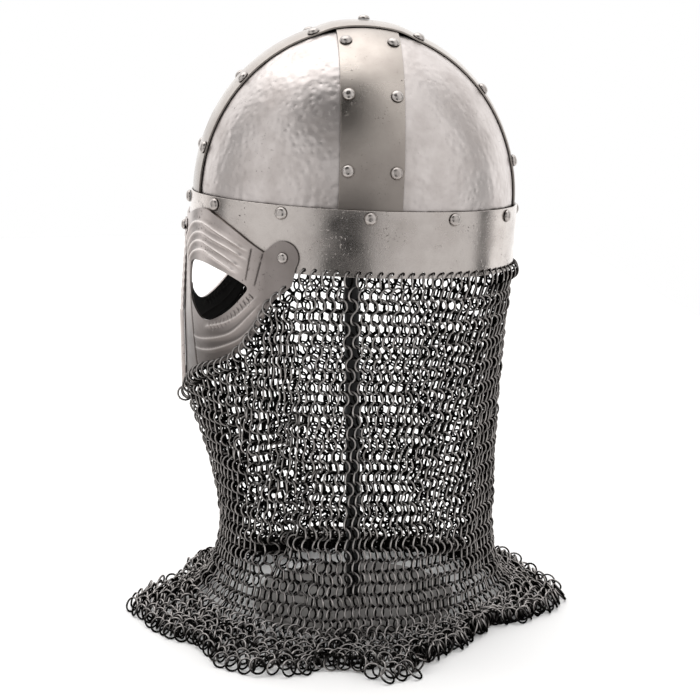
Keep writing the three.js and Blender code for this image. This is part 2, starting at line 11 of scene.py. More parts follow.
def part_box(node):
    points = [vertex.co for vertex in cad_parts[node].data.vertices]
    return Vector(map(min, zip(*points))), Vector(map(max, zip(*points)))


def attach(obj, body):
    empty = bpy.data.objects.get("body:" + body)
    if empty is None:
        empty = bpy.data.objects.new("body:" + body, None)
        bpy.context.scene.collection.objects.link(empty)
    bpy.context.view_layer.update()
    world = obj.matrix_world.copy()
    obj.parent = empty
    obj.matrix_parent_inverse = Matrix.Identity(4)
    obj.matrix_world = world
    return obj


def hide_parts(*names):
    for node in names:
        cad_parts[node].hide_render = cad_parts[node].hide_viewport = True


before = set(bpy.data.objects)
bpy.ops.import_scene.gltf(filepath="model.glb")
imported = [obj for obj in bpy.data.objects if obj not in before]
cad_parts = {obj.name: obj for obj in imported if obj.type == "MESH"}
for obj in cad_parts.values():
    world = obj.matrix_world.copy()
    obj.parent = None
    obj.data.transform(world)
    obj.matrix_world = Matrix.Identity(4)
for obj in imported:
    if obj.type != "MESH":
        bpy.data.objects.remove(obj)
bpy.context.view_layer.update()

bl_info = {
    "name": "Norse iron helmet",
    "version": (1, 0, 0),
    "blender": (4, 5, 0),
    "location": "3D View > Sidebar > Helmet",
    "description": "Builds the hammered bowl, embossed visor, rivets, mail and stand round a packed frame",
    "category": "Add Mesh",
}

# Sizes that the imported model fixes, in metres. Helmet heights are from the brow band's lower edge.
MM = 0.001
TILT = math.radians(3.4)
RIM_HEIGHT = 254.6 * MM
BOWL_HALF_LENGTH = 113.6 * MM
BOWL_HALF_WIDTH = 94.6 * MM
BOWL_RISE = 118.5 * MM
BROW_HEIGHT = 43.5 * MM
SHEET = 1.3 * MM
STRAP_INSET = 1.6 * MM
PLATE_INSET = 3.5 * MM
PLATE_SEAM = 1.2 * MM
RIDGE_WIDTH = 46 * MM
CROSS_WIDTH = 42 * MM
STRAP_TUCK = 16 * MM
RIDGE_STEP = 1.5 * MM
RIDGE_STEP_RUN = 16 * MM
VISOR_INSET = -1.8 * MM
VISOR_SHEET = 1.5 * MM
VISOR_HALF_SPAN = 121 * MM
VISOR_RISE = 35 * MM
VISOR_DROP = 97 * MM
VISOR_TUCK = 3.5 * MM
BEND_HEIGHT = -39.8 * MM
TAB_RADIUS = 10.8 * MM
EYE_INSET = 21 * MM
EYE_LENGTH = 66 * MM
EYE_HEIGHT = 39 * MM
EYE_TOP = 0.8 * MM
NOSE_SEAT = 0.6 * MM
NOSE_SHEET = 1.8 * MM
NOSE_HALF_WIDTH = 8 * MM
NOSE_TOP = 23.9 * MM
NOSE_BOTTOM = -95 * MM
WAIST_FRONT = 92 * MM
WAIST_BACK = 97 * MM
WAIST_SIDE = 86 * MM
MAIL_HALF_WALL = 3.25 * MM
SKIRT_HEIGHT = 66 * MM
SKIRT_REACH = 160 * MM
RIVET_GAP = 0.3 * MM

# The helmet's own frame: the brow band's lower edge is its ground, and the face is raised a little
HELMET_PLACE = Matrix.Translation((0, 0, RIM_HEIGHT)) @ Matrix.Rotation(-TILT, 4, "X")


def linear(code):
    """An sRGB hex colour as linear RGBA."""
    channels = [int(code[i:i + 2], 16) / 255 for i in (1, 3, 5)]
    return [c / 12.92 if c <= 0.04045 else ((c + 0.055) / 1.055) ** 2.4 for c in channels] + [1.0]


def add_node(tree, kind, values=(), links=(), **settings):
    """Adds a node. Settings are its options, values its input values, and links the outputs that feed it."""
    node = tree.nodes.new(kind)
    for option, value in settings.items():
        setattr(node, option, value)
    for socket, value in dict(values).items():
        node.inputs[socket].default_value = value
    for socket, source in dict(links).items():
        tree.links.new(source, node.inputs[socket])
    return node


def new_material(name):
    """An empty material with its shader, and the coordinates of the piece it is on."""
    material = bpy.data.materials.new(name)
    material.use_nodes = True
    tree = material.node_tree
    tree.nodes.clear()
    shader = add_node(tree, "ShaderNodeBsdfPrincipled")
    add_node(tree, "ShaderNodeOutputMaterial", links={"Surface": shader.outputs[0]})
    place = add_node(tree, "ShaderNodeTexCoord").outputs["Object"]
    return material, tree, shader, place


# Steel

MIX_FACTOR, MIX_A, MIX_B, MIX_RESULT = 0, 6, 7, 2


def hand_worked_steel(name, colour, grime, roughness, dent, dent_depth, pit_share, scratch=0.03):
    """Mild steel sheet, worked by hand, oiled and lightly rusted: a soft grey mirror broken by hammer
    marks dent wide, cloudy stains and brown-black pits, with painted shade in its corners and, where a
    piece marks them, painted shade and painted highlights. Lengths are in metres."""
    material, tree, shader, place = new_material(name)
    shader.inputs["Metallic"].default_value = 1.0
    cloud = add_node(tree, "ShaderNodeTexNoise", {"Scale": 1 / (26 * MM), "Detail": 4, "Roughness": 0.6},
                     {"Vector": place})
    stain = add_node(tree, "ShaderNodeMapRange", {"From Min": 0.4, "From Max": 0.75, "To Max": 0.45},
                     {"Value": cloud.outputs["Fac"]})
    speck = add_node(tree, "ShaderNodeTexNoise", {"Scale": 1 / (1.6 * MM), "Detail": 3, "Roughness": 0.65},
                     {"Vector": place})
    patch = add_node(tree, "ShaderNodeTexNoise", {"Scale": 1 / (19 * MM), "Detail": 2}, {"Vector": place})
    where = add_node(tree, "ShaderNodeMath", {1: 0.42}, {0: patch.outputs["Fac"]}, operation="MULTIPLY")
    dotted = add_node(tree, "ShaderNodeMath", links={0: speck.outputs["Fac"], 1: where.outputs[0]},
                      operation="ADD")
    pit = add_node(tree, "ShaderNodeMapRange",
                   {"From Min": 0.9 - pit_share, "From Max": 1.02 - pit_share, "To Max": 0.8},
                   {"Value": dotted.outputs[0]})
    stained = add_node(tree, "ShaderNodeMix", {MIX_A: colour, MIX_B: grime},
                       {MIX_FACTOR: stain.outputs[0]}, data_type="RGBA")
    pitted = add_node(tree, "ShaderNodeMix", {MIX_B: linear("#2b211b")},
                      {MIX_FACTOR: pit.outputs[0], MIX_A: stained.outputs[MIX_RESULT]}, data_type="RGBA")
    # Painted shade: the colour is darkened in the corners, round rivets and along the edges of the sheets,
    # where other surfaces are close
    corner_occlusion = add_node(tree, "ShaderNodeAmbientOcclusion", {"Distance": 3.5 * MM}, samples=6)
    corner_shade_share = add_node(tree, "ShaderNodeMapRange", {"From Min": 0.82, "From Max": 0.35, "To Max": 0.85},
                    {"Value": corner_occlusion.outputs["AO"]})
    corner_shaded = add_node(tree, "ShaderNodeMix", {MIX_B: linear("#2e2723")},
                     {MIX_FACTOR: corner_shade_share.outputs[0], MIX_A: pitted.outputs[MIX_RESULT]}, data_type="RGBA")
    # Painted shade and painted dark reflection: where a piece marks it, the sheet is painted dark
    painted_shade = add_node(tree, "ShaderNodeAttribute", attribute_name="painted_shade").outputs["Fac"]
    painted_dark = add_node(tree, "ShaderNodeMix", {MIX_B: linear("#4b4542")},
                      {MIX_FACTOR: painted_shade, MIX_A: corner_shaded.outputs[MIX_RESULT]}, data_type="RGBA")
    # Painted highlight: where it stands proud the sheet is painted bright
    crest = add_node(tree, "ShaderNodeAttribute", attribute_name="painted_crest_highlight").outputs["Fac"]
    painted_highlight = add_node(tree, "ShaderNodeMix", {MIX_B: linear("#dad3cf")},
                      {MIX_FACTOR: crest, MIX_A: painted_dark.outputs[MIX_RESULT]}, data_type="RGBA")
    tree.links.new(painted_highlight.outputs[MIX_RESULT], shader.inputs["Base Color"])
    # Polishing lines run along the sheet
    stretch = add_node(tree, "ShaderNodeMapping", {"Scale": (1 / (9 * MM), 1 / (9 * MM), 1 / (0.5 * MM))},
                       {"Vector": place})
    lines = add_node(tree, "ShaderNodeTexNoise", {"Scale": 1.0, "Detail": 2}, {"Vector": stretch.outputs[0]})
    rough = add_node(tree, "ShaderNodeMapRange",
                     {"From Min": 0.25, "From Max": 0.75, "To Min": roughness - 0.06,
                      "To Max": roughness + 0.1}, {"Value": cloud.outputs["Fac"]})
    worn = add_node(tree, "ShaderNodeMath", {1: 0.3}, {0: pit.outputs[0], 2: rough.outputs[0]},
                    operation="MULTIPLY_ADD")
    tree.links.new(worn.outputs[0], shader.inputs["Roughness"])
    marks = add_node(tree, "ShaderNodeTexVoronoi", {"Scale": 1 / dent, "Smoothness": 1.0}, {"Vector": place},
                     feature="SMOOTH_F1")
    hammered = add_node(tree, "ShaderNodeBump", {"Strength": 1.0, "Distance": dent_depth},
                        {"Height": marks.outputs["Distance"]})
    pebbled = add_node(tree, "ShaderNodeBump", {"Strength": 0.35, "Distance": 0.12 * MM},
                       {"Height": speck.outputs["Fac"], "Normal": hammered.outputs[0]})
    polished = add_node(tree, "ShaderNodeBump", {"Strength": scratch, "Distance": 0.2 * MM},
                        {"Height": lines.outputs["Fac"], "Normal": pebbled.outputs[0]})
    sunk = add_node(tree, "ShaderNodeBump", {"Strength": 0.6, "Distance": 0.2 * MM},
                    {"Height": pit.outputs[0], "Normal": polished.outputs[0]}, invert=True)
    tree.links.new(sunk.outputs[0], shader.inputs["Normal"])
    return material


def inside_in_painted_shade():
    """Painted shade: the inside of the sheet is painted nearly black, so that nearly no light comes back from
    it.
    """
    material, tree, shader, place = new_material("painted_shade_black")
    shader.inputs["Metallic"].default_value = 0.0
    shader.inputs["Roughness"].default_value = 0.8
    scale = add_node(tree, "ShaderNodeTexNoise", {"Scale": 1 / (4 * MM), "Detail": 4}, {"Vector": place})
    shade = add_node(tree, "ShaderNodeMix", {MIX_A: linear("#0d0c0c"), MIX_B: linear("#221e1c")},
                     {MIX_FACTOR: scale.outputs["Fac"]}, data_type="RGBA")
    tree.links.new(shade.outputs[MIX_RESULT], shader.inputs["Base Color"])
    bump = add_node(tree, "ShaderNodeBump", {"Strength": 0.3, "Distance": 0.3 * MM},
                    {"Height": scale.outputs["Fac"]})
    tree.links.new(bump.outputs[0], shader.inputs["Normal"])
    return material


# Meshes


def add_mesh(name, points, faces, materials, face_material=None, sharp=35):
    """A mesh object from an array of points and arrays of faces with equal numbers of corners."""
    mesh = bpy.data.meshes.new(name)
    faces = [np.asarray(group, dtype=np.int32) for group in faces if len(group)]
    counts = np.concatenate([np.full(len(group), group.shape[1], dtype=np.int32) for group in faces])
    corners = np.concatenate([group.ravel() for group in faces])
    mesh.vertices.add(len(points))
    mesh.vertices.foreach_set("co", np.asarray(points, dtype=np.float32).ravel())
    mesh.loops.add(len(corners))
    mesh.loops.foreach_set("vertex_index", corners)
    mesh.polygons.add(len(counts))
    mesh.polygons.foreach_set("loop_start", np.concatenate([[0], np.cumsum(counts)[:-1]]).astype(np.int32))
    mesh.polygons.foreach_set("loop_total", counts)
    for material in materials:
        mesh.materials.append(material)
    if face_material is not None:
        mesh.polygons.foreach_set("material_index", np.asarray(face_material, dtype=np.int32))
    mesh.update(calc_edges=True)
    mesh.validate()
    mesh.shade_smooth()
    if sharp:
        mesh.set_sharp_from_angle(angle=math.radians(sharp))
    piece = bpy.data.objects.new(name, mesh)
    bpy.context.scene.collection.objects.link(piece)
    return piece


def mark_points(piece, name, shares):
    """Stores a share from 0 to 1 at each point of a piece, for its material to read."""
    values = piece.data.attributes.new(name, "FLOAT", "POINT")
    values.data.foreach_set("value", shares.astype(np.float32))


def round_edges(piece, width):
    """Breaks the sheared edges of a sheet, which catch a thin line of light."""
    bevel = piece.modifiers.new("broken_edges", "BEVEL")
    bevel.width = width
    bevel.segments = 2
    bevel.limit_method = "ANGLE"
    bevel.angle_limit = math.radians(50)
    bevel.harden_normals = True


def shell(outer, inner, ring=False):
    """Points and quads of a closed sheet between two grids of points, and which quads are inside."""
    rows, columns = outer.shape[0] - 1, outer.shape[1] - (0 if ring else 1)
    width = outer.shape[1]
    points = np.concatenate([outer.reshape(-1, 3), inner.reshape(-1, 3)])
    size = width * (rows + 1)
    row, column = np.meshgrid(np.arange(rows), np.arange(columns), indexing="ij")
    row, column = row.ravel(), column.ravel()
    after = (column + 1) % width
    a, b = row * width + column, row * width + after
    c, d = b + width, a + width
    outside = np.stack([a, b, c, d], 1)
    inside = np.stack([a, d, c, b], 1) + size
    along = np.arange(columns)
    beside = (along + 1) % width
    low = np.stack([along, along + size, beside + size, beside], 1)
    top = low[:, ::-1] + rows * width
    rims = [low, top]
    if not ring:
        up = np.arange(rows) * width
        left = np.stack([up, up + width, up + width + size, up + size], 1)
        rims += [left, left[:, ::-1] + columns]
    rims = np.concatenate(rims)
    quads = np.concatenate([outside, inside, rims])
    is_inside = np.concatenate([np.zeros(len(outside)), np.ones(len(inside)), np.zeros(len(rims))])
    return points, quads, is_inside


def turned(profile, segments):
    """Points and faces of a turned solid whose profile starts and ends on its axis, which is Z."""
    profile = np.asarray(profile, dtype=float)
    angle = np.arange(segments) * 2 * math.pi / segments
    inner = profile[1:-1]
    rings = np.stack([
        inner[:, None, 0] * np.cos(angle), inner[:, None, 0] * np.sin(angle),
        np.repeat(inner[:, None, 1], segments, 1)], -1).reshape(-1, 3)
    points = np.concatenate([rings, [[0, 0, profile[0, 1]], [0, 0, profile[-1, 1]]]])
    here = np.arange(segments)
    there = (here + 1) % segments
    steps = np.arange(len(inner) - 1)[:, None] * segments
    quads = np.stack([steps + here, steps + there, steps + there + segments, steps + here + segments], -1)
    last = (len(inner) - 1) * segments
    foot = np.stack([there, here, np.full(segments, len(rings))], 1)
    cap = np.stack([here + last, there + last, np.full(segments, len(rings) + 1)], 1)
    return points, [quads.reshape(-1, 4), np.concatenate([foot, cap])]


def copies(points, faces, places, axes):
    """One mesh of many like pieces: a copy of the points at each place, its Z along each axis."""
    everything, groups = [], [[] for _ in faces]
    for index, (place, axis) in enumerate(zip(places, axes)):
        turn = np.array(Vector((0, 0, 1)).rotation_difference(Vector(axis)).to_matrix())
        everything.append(points @ turn.T + place)
        for group, found in zip(groups, faces):
            group.append(found + index * len(points))
    return np.concatenate(everything), [np.concatenate(group) for group in groups]


def settle(piece, slot, *nodes, helmet=True):
    """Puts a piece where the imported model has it, on its body, in place of the nodes it stands for."""
    if helmet:
        piece.matrix_world = HELMET_PLACE
        bpy.context.view_layer.update()
    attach(piece, "root")
    if nodes:
        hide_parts(*nodes)


def nodes_named(*starts):
    """Names of the frame's nodes that start with one of these."""
    return [name for name in sorted(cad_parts) if name.startswith(starts)]


# Form of the bowl and the upright wall


def wall_point(turn, z, inset, scale=1.0):
    """Points on the upright elliptic wall. A turn of 0 is the face and 90 the wearer's left ear."""
    turn = np.radians(turn)
    x = (BOWL_HALF_WIDTH - inset) * np.sin(turn) * scale
    y = -(BOWL_HALF_LENGTH - inset) * np.cos(turn) * scale
    return np.stack(np.broadcast_arrays(x, y, z), -1)


def strap_point(angle, across, drop, inset, along_length):
    """Points over the crown. An angle of 0 is at one end of a strap and 180 at the other."""
    reach = (BOWL_HALF_LENGTH if along_length else BOWL_HALF_WIDTH) - inset
    breadth = (BOWL_HALF_WIDTH if along_length else BOWL_HALF_LENGTH) - inset
    rise = BOWL_RISE + STRAP_INSET - inset
    narrowing = np.sqrt(1 - (across / breadth) ** 2)
    along = -reach * narrowing * np.cos(np.radians(angle))
    z = BROW_HEIGHT - drop + rise * narrowing * np.sin(np.radians(angle))
    if along_length:
        step = np.clip((CROSS_WIDTH / 2 + RIDGE_STEP_RUN - np.abs(along)) / RIDGE_STEP_RUN, 0, 1)
        z = z + RIDGE_STEP * step ** 2 * (3 - 2 * step)
    across = across + 0 * along
    return np.stack([across, along, z] if along_length else [along, across, z], -1)


def bowl_normal(point, inset):
    """Outward direction of the bowl, or of the wall below it, at a point."""
    sizes = np.array([BOWL_HALF_WIDTH - inset, BOWL_HALF_LENGTH - inset, BOWL_RISE + STRAP_INSET - inset])
    lifted = np.array([point[0], point[1], max(point[2] - BROW_HEIGHT, 0)])
    normal = lifted / sizes ** 2
    return normal / np.linalg.norm(normal)


def lengths_along(line):
    """Length travelled at each point of an open line."""
    return np.concatenate([[0], np.cumsum(np.linalg.norm(np.diff(line, axis=0), axis=1))])


def evenly_along(line, count):
    """A number of points evenly along an open flat line, half a step in from its ends."""
    travelled = lengths_along(line)
    wanted = (np.arange(count) + 0.5) / count * travelled[-1]
    return np.stack([np.interp(wanted, travelled, line[:, i]) for i in (0, 1)], 1)


# Lengths round the head from the nose line to the nape, at each degree of turn
ARC_TURNS = np.linspace(0, 180, 181)
ARC_LENGTHS = lengths_along(wall_point(ARC_TURNS, 0.0, VISOR_INSET))


def turn_along(length):
    """The turn at a length along the curve from the nose line."""
    return np.sign(length) * np.interp(np.abs(length), ARC_LENGTHS, ARC_TURNS)


def visor_point(length, z, above):
    """Points of the visor. Below the eye holes it leans in towards the chin."""
    lean = VISOR_TUCK * np.clip((BEND_HEIGHT - z) / (BEND_HEIGHT + VISOR_DROP), 0, None)
    return wall_point(turn_along(length), z, VISOR_INSET + lean - above)


# Sheets with holes, laid out flat and then bent to shape


def inside(outline, points):
    """Which points are inside a closed outline."""
    found = np.zeros(len(points), dtype=bool)
    x, y = points[:, 0], points[:, 1]
    for (x1, y1), (x2, y2) in zip(outline, np.roll(outline, -1, axis=0)):
        if y1 != y2:
            crosses = (y1 > y) != (y2 > y)
            found ^= crosses & (x < (x2 - x1) * (y - y1) / (y2 - y1) + x1)
    return found


def unit(vectors):
    """Vectors of length one."""
    return vectors / np.linalg.norm(vectors, axis=-1, keepdims=True)


def distance_to_line(points, line):
    """Distance from each point to an open line of points, and how far along the line it is."""
    best = np.full(len(points), np.inf)
    where = np.zeros(len(points))
    travelled = 0.0
    for a, b in zip(line[:-1], line[1:]):
        step = b - a
        length = np.linalg.norm(step)
        share = np.clip((points - a) @ step / length ** 2, 0, 1)
        apart = np.linalg.norm(points - a - share[:, None] * step, axis=1)
        nearer = apart < best
        best[nearer] = apart[nearer]
        where[nearer] = (travelled + share * length)[nearer]
        travelled += length
    return best, where / travelled


def even(line, step, closed=True):
    """The same line with its long stretches split so that none is longer than step."""
    ends = np.roll(line, -1, axis=0) if closed else line[1:]
    result = []
    for a, b in zip(line, ends):
        pieces = max(1, math.ceil(np.linalg.norm(b - a) / step))
        result += [a + (b - a) * share / pieces for share in range(pieces)]
    if not closed:
        result.append(line[-1])
    return np.array(result)


def smooth_line(line, rounds, closed=True):
    """Rounds the corners of a line by cutting them."""
    for _ in range(rounds):
        after = np.roll(line, -1, axis=0) if closed else line[1:]
        before = line if closed else line[:-1]
        cut = np.stack([before * 0.75 + after * 0.25, before * 0.25 + after * 0.75], 1).reshape(-1, 2)
        line = cut if closed else np.concatenate([line[:1], cut, line[-1:]])
    return line


def hole_outline(centre, radius, corners=10):
    """A round hole."""
    angle = np.arange(corners) * 2 * math.pi / corners
    return centre + radius * np.stack([np.cos(angle), np.sin(angle)], 1)


def cut_sheet(outline, holes, step, lines=()):
    """Points and triangles of a flat sheet with holes in it, whose edges follow the lines."""
    edges_of = [outline] + list(holes)
    low, high = outline.min(0), outline.max(0)
    columns = np.arange(low[0], high[0], step)
    rows = np.arange(low[1], high[1], step * 0.866)
    grid = np.stack(np.meshgrid(columns, rows), -1)
    grid[1::2, :, 0] += step / 2
    grid = grid.reshape(-1, 2)
    keep = inside(outline, grid)
    for hole in holes:
        keep &= ~inside(hole, grid)
    grid = grid[keep]
    for edge in edges_of:
        closed = np.concatenate([edge, edge[:1]])
        near = (np.abs(grid - (edge.min(0) + edge.max(0)) / 2) < (np.ptp(edge, axis=0) / 2 + step)).all(1)
        apart = np.full(len(grid), np.inf)
        if near.any():
            apart[near] = distance_to_line(grid[near], closed)[0]
        grid = grid[apart > step * 0.55]
    for line in lines:
        grid = grid[distance_to_line(grid, line)[0] > step * 0.5]
    points, constraints = [], []
    for edge in edges_of:
        first = len(points)
        points += [Vector(point) for point in edge]
        constraints += [(first + i, first + (i + 1) % len(edge)) for i in range(len(edge))]
    for line in lines:
        first = len(points)
        points += [Vector(point) for point in line]
        constraints += [(first + i, first + i + 1) for i in range(len(line) - 1)]
    points += [Vector(point) for point in grid]
    found, _, faces, _, _, _ = delaunay_2d_cdt(points, constraints, [], 0, 1e-7)
    flat = np.array([tuple(point) for point in found])
    faces = np.array([face for face in faces if len(face) == 3])
    middle = flat[faces].mean(1)
    keep = inside(outline, middle)
    for hole in holes:
        keep &= ~inside(hole, middle)
    faces = faces[keep]
    area = np.cross(flat[faces[:, 1]] - flat[faces[:, 0]], flat[faces[:, 2]] - flat[faces[:, 0]])
    faces[area < 0] = faces[area < 0][:, ::-1]
    return flat, faces


def thicken(triangles, outer, inner):
    """Closes a triangulated sheet: its faces, the same faces inside, and quads round every edge."""
    size = len(outer)
    edges = np.concatenate([triangles[:, [0, 1]], triangles[:, [1, 2]], triangles[:, [2, 0]]])
    key = edges[:, 0].astype(np.int64) * size + edges[:, 1]
    reverse = edges[:, 1].astype(np.int64) * size + edges[:, 0]
    rim = edges[~np.isin(key, reverse)]
    sides = np.stack([rim[:, 1], rim[:, 0], rim[:, 0] + size, rim[:, 1] + size], 1)
    faces = [np.concatenate([triangles, triangles[:, ::-1] + size]), sides]
    is_inside = np.concatenate([np.zeros(len(triangles)), np.ones(len(triangles)), np.zeros(len(sides))])
    return np.concatenate([outer, inner]), faces, is_inside


# The holes that the mail hangs from
VISOR_COLUMNS = 22  # columns of rings that hang from each half of the visor
BAND_COLUMNS = 29  # columns of rings that hang from each half of the brow band behind the ear tabs
HOLE_MARGIN = 2.2 * MM  # from the edge of the sheet to the middle of a hole
BAND_HOLE_HEIGHT = 3.1 * MM  # from the band's lower edge to the middle of a hole
HOLE_RADIUS = 1.15 * MM
# Sizes of the triangles that the sheets are made of
BAND_GRID = 3 * MM
VISOR_GRID = 0.86 * MM
VISOR_EDGE_STEP = 1.3 * MM
RIB_STEP = 0.8 * MM
# Outlines of the visor, as shares of its half span, rise and drop
UPPER_EDGE = [(0.0, 0.74), (0.13, 0.81), (0.21, 0.91), (0.29, 0.98), (0.37, 1.0), (0.46, 0.9), (0.61, 0.68),
              (0.71, 0.49), (0.8, 0.34)]
LOWER_EDGE = [(0.965, 0.088), (0.905, 0.15), (0.85, 0.218), (0.807, 0.35), (0.735, 0.488), (0.617, 0.627),
              (0.504, 0.695), (0.347, 0.755), (0.231, 0.825), (0.13, 0.915), (0.065, 0.98), (0.0, 1.0)]
EYE_EDGE = [(0.0, 0.4), (0.01, 0.17), (0.05, 0.04), (0.17, 0.0), (0.37, 0.0), (0.67, 0.095), (0.874, 0.205),
            (1.0, 0.295), (0.918, 0.469), (0.79, 0.697), (0.626, 0.885), (0.46, 1.0), (0.317, 0.987),
            (0.173, 0.84), (0.077, 0.69)]
# Embossed lines of the wearer's left side, as shares of the same sizes
BROW_RIBS = [
    [(0.7, 0.33), (0.58, 0.49), (0.46, 0.62), (0.38, 0.71), (0.31, 0.74), (0.23, 0.69), (0.165, 0.56),
     (0.107, 0.34), (0.075, 0.14)],
    [(0.7, 0.17), (0.59, 0.33), (0.41, 0.48), (0.35, 0.535), (0.293, 0.53), (0.223, 0.46), (0.165, 0.31),
     (0.124, 0.11), (0.1, -0.09)],
    [(0.67, 0.0), (0.54, 0.185), (0.414, 0.31), (0.35, 0.365), (0.297, 0.37), (0.23, 0.3), (0.18, 0.17),
     (0.149, 0.0), (0.132, -0.17)],
    [(0.64, -0.1), (0.51, 0.057), (0.402, 0.183), (0.35, 0.21), (0.3, 0.19), (0.248, 0.137), (0.207, 0.057),
     (0.178, -0.057), (0.161, -0.17)],
]
CHEEK_RIBS = [
    [(0.25, 0.55), (0.35, 0.55), (0.44, 0.53), (0.53, 0.5), (0.61, 0.46), (0.67, 0.4), (0.72, 0.33),
     (0.8, 0.22)],
    [(0.275, 0.63), (0.4, 0.62), (0.5, 0.59), (0.63, 0.52), (0.69, 0.47), (0.74, 0.41), (0.79, 0.32),
     (0.84, 0.23)],
    [(0.4, 0.455), (0.43, 0.44), (0.5, 0.42), (0.57, 0.39), (0.63, 0.35), (0.68, 0.3), (0.77, 0.18)],
]
EAR_GROOVES = [[(0.721, 0.383), (0.691, -0.206)], [(0.794, 0.326), (0.75, -0.294)]]
NOSE_GROOVE = [(0.205, 0.27), (0.24, 0.41), (0.26, 0.55), (0.29, 0.72), (0.3, 0.75)]
EYE_BAR_FEET = [(0.43, 0.43), (0.53, 0.385), (0.62, 0.305), (0.69, 0.215), (0.728, 0.155)]
EYE_BARS = 13
EYE_BAR_LENGTH = 4.4 * MM
TAB_CENTRE = np.array([VISOR_HALF_SPAN - TAB_RADIUS, 0.28 * VISOR_RISE])


def upper_edge(length):
    """Height of the visor's upper edge at a length from the nose line."""
    along, up = np.array(UPPER_EDGE).T
    return np.interp(np.abs(length) / VISOR_HALF_SPAN, along, up) * VISOR_RISE


def lower_edge(length):
    """Height of the visor's lower edge at a length from the nose line."""
    along, down = np.array(LOWER_EDGE[::-1]).T
    return -np.interp(np.abs(length) / VISOR_HALF_SPAN, along, down) * VISOR_DROP


def half_outline():
    """One side of the visor's outline, from the nose line's top round to its tip."""
    upper = smooth_line(np.array(UPPER_EDGE) * [VISOR_HALF_SPAN, VISOR_RISE], 1, closed=False)
    turns = np.radians(np.arange(135, -31, -11))
    tab = TAB_CENTRE + TAB_RADIUS * np.stack([np.cos(turns), np.sin(turns)], 1)
    lower = smooth_line(np.array(LOWER_EDGE) * [VISOR_HALF_SPAN, -VISOR_DROP], 2, closed=False)
    return np.concatenate([upper, tab, lower])


def mail_holes():
    """Centres of the holes for the first rings, evenly along one side of the visor's lower edge."""
    along = np.linspace(0, 0.965, 200) * VISOR_HALF_SPAN
    edge = np.stack([along, lower_edge(along)], 1)
    centres = evenly_along(edge, VISOR_COLUMNS)
    heading = np.gradient(centres, axis=0)
    inward = np.stack([-heading[:, 1], heading[:, 0]], 1)
    return centres + unit(inward) * HOLE_MARGIN


def hole_places():
    """Middles of all the holes for the mail, upright, and the outward direction at each."""
    found = []
    for side in (1, -1):
        for length, z in mail_holes():
            found.append(visor_point(side * length, z, -VISOR_SHEET / 2))
        for turn in band_turns():
            found.append(wall_point(side * turn, BAND_HOLE_HEIGHT, SHEET / 2))
    found = np.array(found)
    outward = found * [1 / BOWL_HALF_WIDTH ** 2, 1 / BOWL_HALF_LENGTH ** 2, 0]
    return upright(found), unit(outward)


class HelmetSizes(bpy.types.PropertyGroup):
    rib_height: FloatProperty(name="Rib height", description="Height of the ribs over brow and cheek",
                              default=1.5 * MM, min=0, subtype="DISTANCE", unit="LENGTH")
    rib_width: FloatProperty(name="Rib width", description="Width of an embossed rib at its foot",
                             default=2.9 * MM, min=MM, subtype="DISTANCE", unit="LENGTH")
    rope_pitch: FloatProperty(name="Rope pitch", description="Length of one twist of the nose guard's rope",
                              default=5.5 * MM, min=MM, subtype="DISTANCE", unit="LENGTH")
    rope_depth: FloatProperty(name="Rope depth", description="Depth of the grooves between two twists",
                              default=0.65 * MM, min=0, subtype="DISTANCE", unit="LENGTH")
    hammer_mark: FloatProperty(name="Hammer mark", description="Width of one hammer mark on the plates",
                               default=4.4 * MM, min=MM, subtype="DISTANCE", unit="LENGTH")
    rivet_radius: FloatProperty(name="Rivet radius", description="Radius of a rivet's head",
                                default=4.2 * MM, min=MM, subtype="DISTANCE", unit="LENGTH")
    rivet_rise: FloatProperty(name="Rivet height", description="Height of a rivet's head",
                              default=2.8 * MM, min=0, subtype="DISTANCE", unit="LENGTH")
    ring_radius: FloatProperty(name="Ring radius", description="From a ring's middle to its wire's middle",
                               default=5.15 * MM, min=MM, subtype="DISTANCE", unit="LENGTH")
    wire_radius: FloatProperty(name="Wire radius", description="Radius of the wire of the rings",
                               default=0.7 * MM, min=0.2 * MM, subtype="DISTANCE", unit="LENGTH")
    tube_rows: IntProperty(name="Hanging rows", description="Rows of rings from the rim down to the spread",
                           default=24, min=8)
    skirt_rows: IntProperty(name="Spread rows", description="Rows of rings in the part that spreads out",
                            default=18, min=8)


class HelmetColours(bpy.types.PropertyGroup):
    plate: FloatVectorProperty(name="Plates", description="Hammered steel of the bowl's plates",
                               default=linear("#c3bcb9"), size=4, min=0, max=1, subtype="COLOR")
    band: FloatVectorProperty(name="Brow band", description="Filed steel of the brow band",
                              default=linear("#bdb6b1"), size=4, min=0, max=1, subtype="COLOR")
    strap: FloatVectorProperty(name="Straps", description="Filed steel of the ridge band and the cross bands",
                               default=linear("#aba39c"), size=4, min=0, max=1, subtype="COLOR")
    visor: FloatVectorProperty(name="Visor", description="Embossed steel of the visor and the nose guard",
                               default=linear("#b9b0ac"), size=4, min=0, max=1, subtype="COLOR")
    rivet: FloatVectorProperty(name="Rivets", description="Steel of the rivet heads",
                               default=linear("#aca6a2"), size=4, min=0, max=1, subtype="COLOR")
    grime: FloatVectorProperty(name="Grime", description="Old oil and brown rust in the stains",
                               default=linear("#8f8580"), size=4, min=0, max=1, subtype="COLOR")
    wire: FloatVectorProperty(name="Wire", description="Oiled steel wire of the rings",
                              default=linear("#b5b0ad"), size=4, min=0, max=1, subtype="COLOR")
    post: FloatVectorProperty(name="Post", description="Black enamel of the stand's post",
                              default=linear("#070708"), size=4, min=0, max=1, subtype="COLOR")
    foot: FloatVectorProperty(name="Foot", description="Grey paint of the stand's foot",
                              default=linear("#98938f"), size=4, min=0, max=1, subtype="COLOR")
    paper: FloatVectorProperty(name="Paper", description="White paper that the stand is on",
                               default=linear("#f4f3f2"), size=4, min=0, max=1, subtype="COLOR")


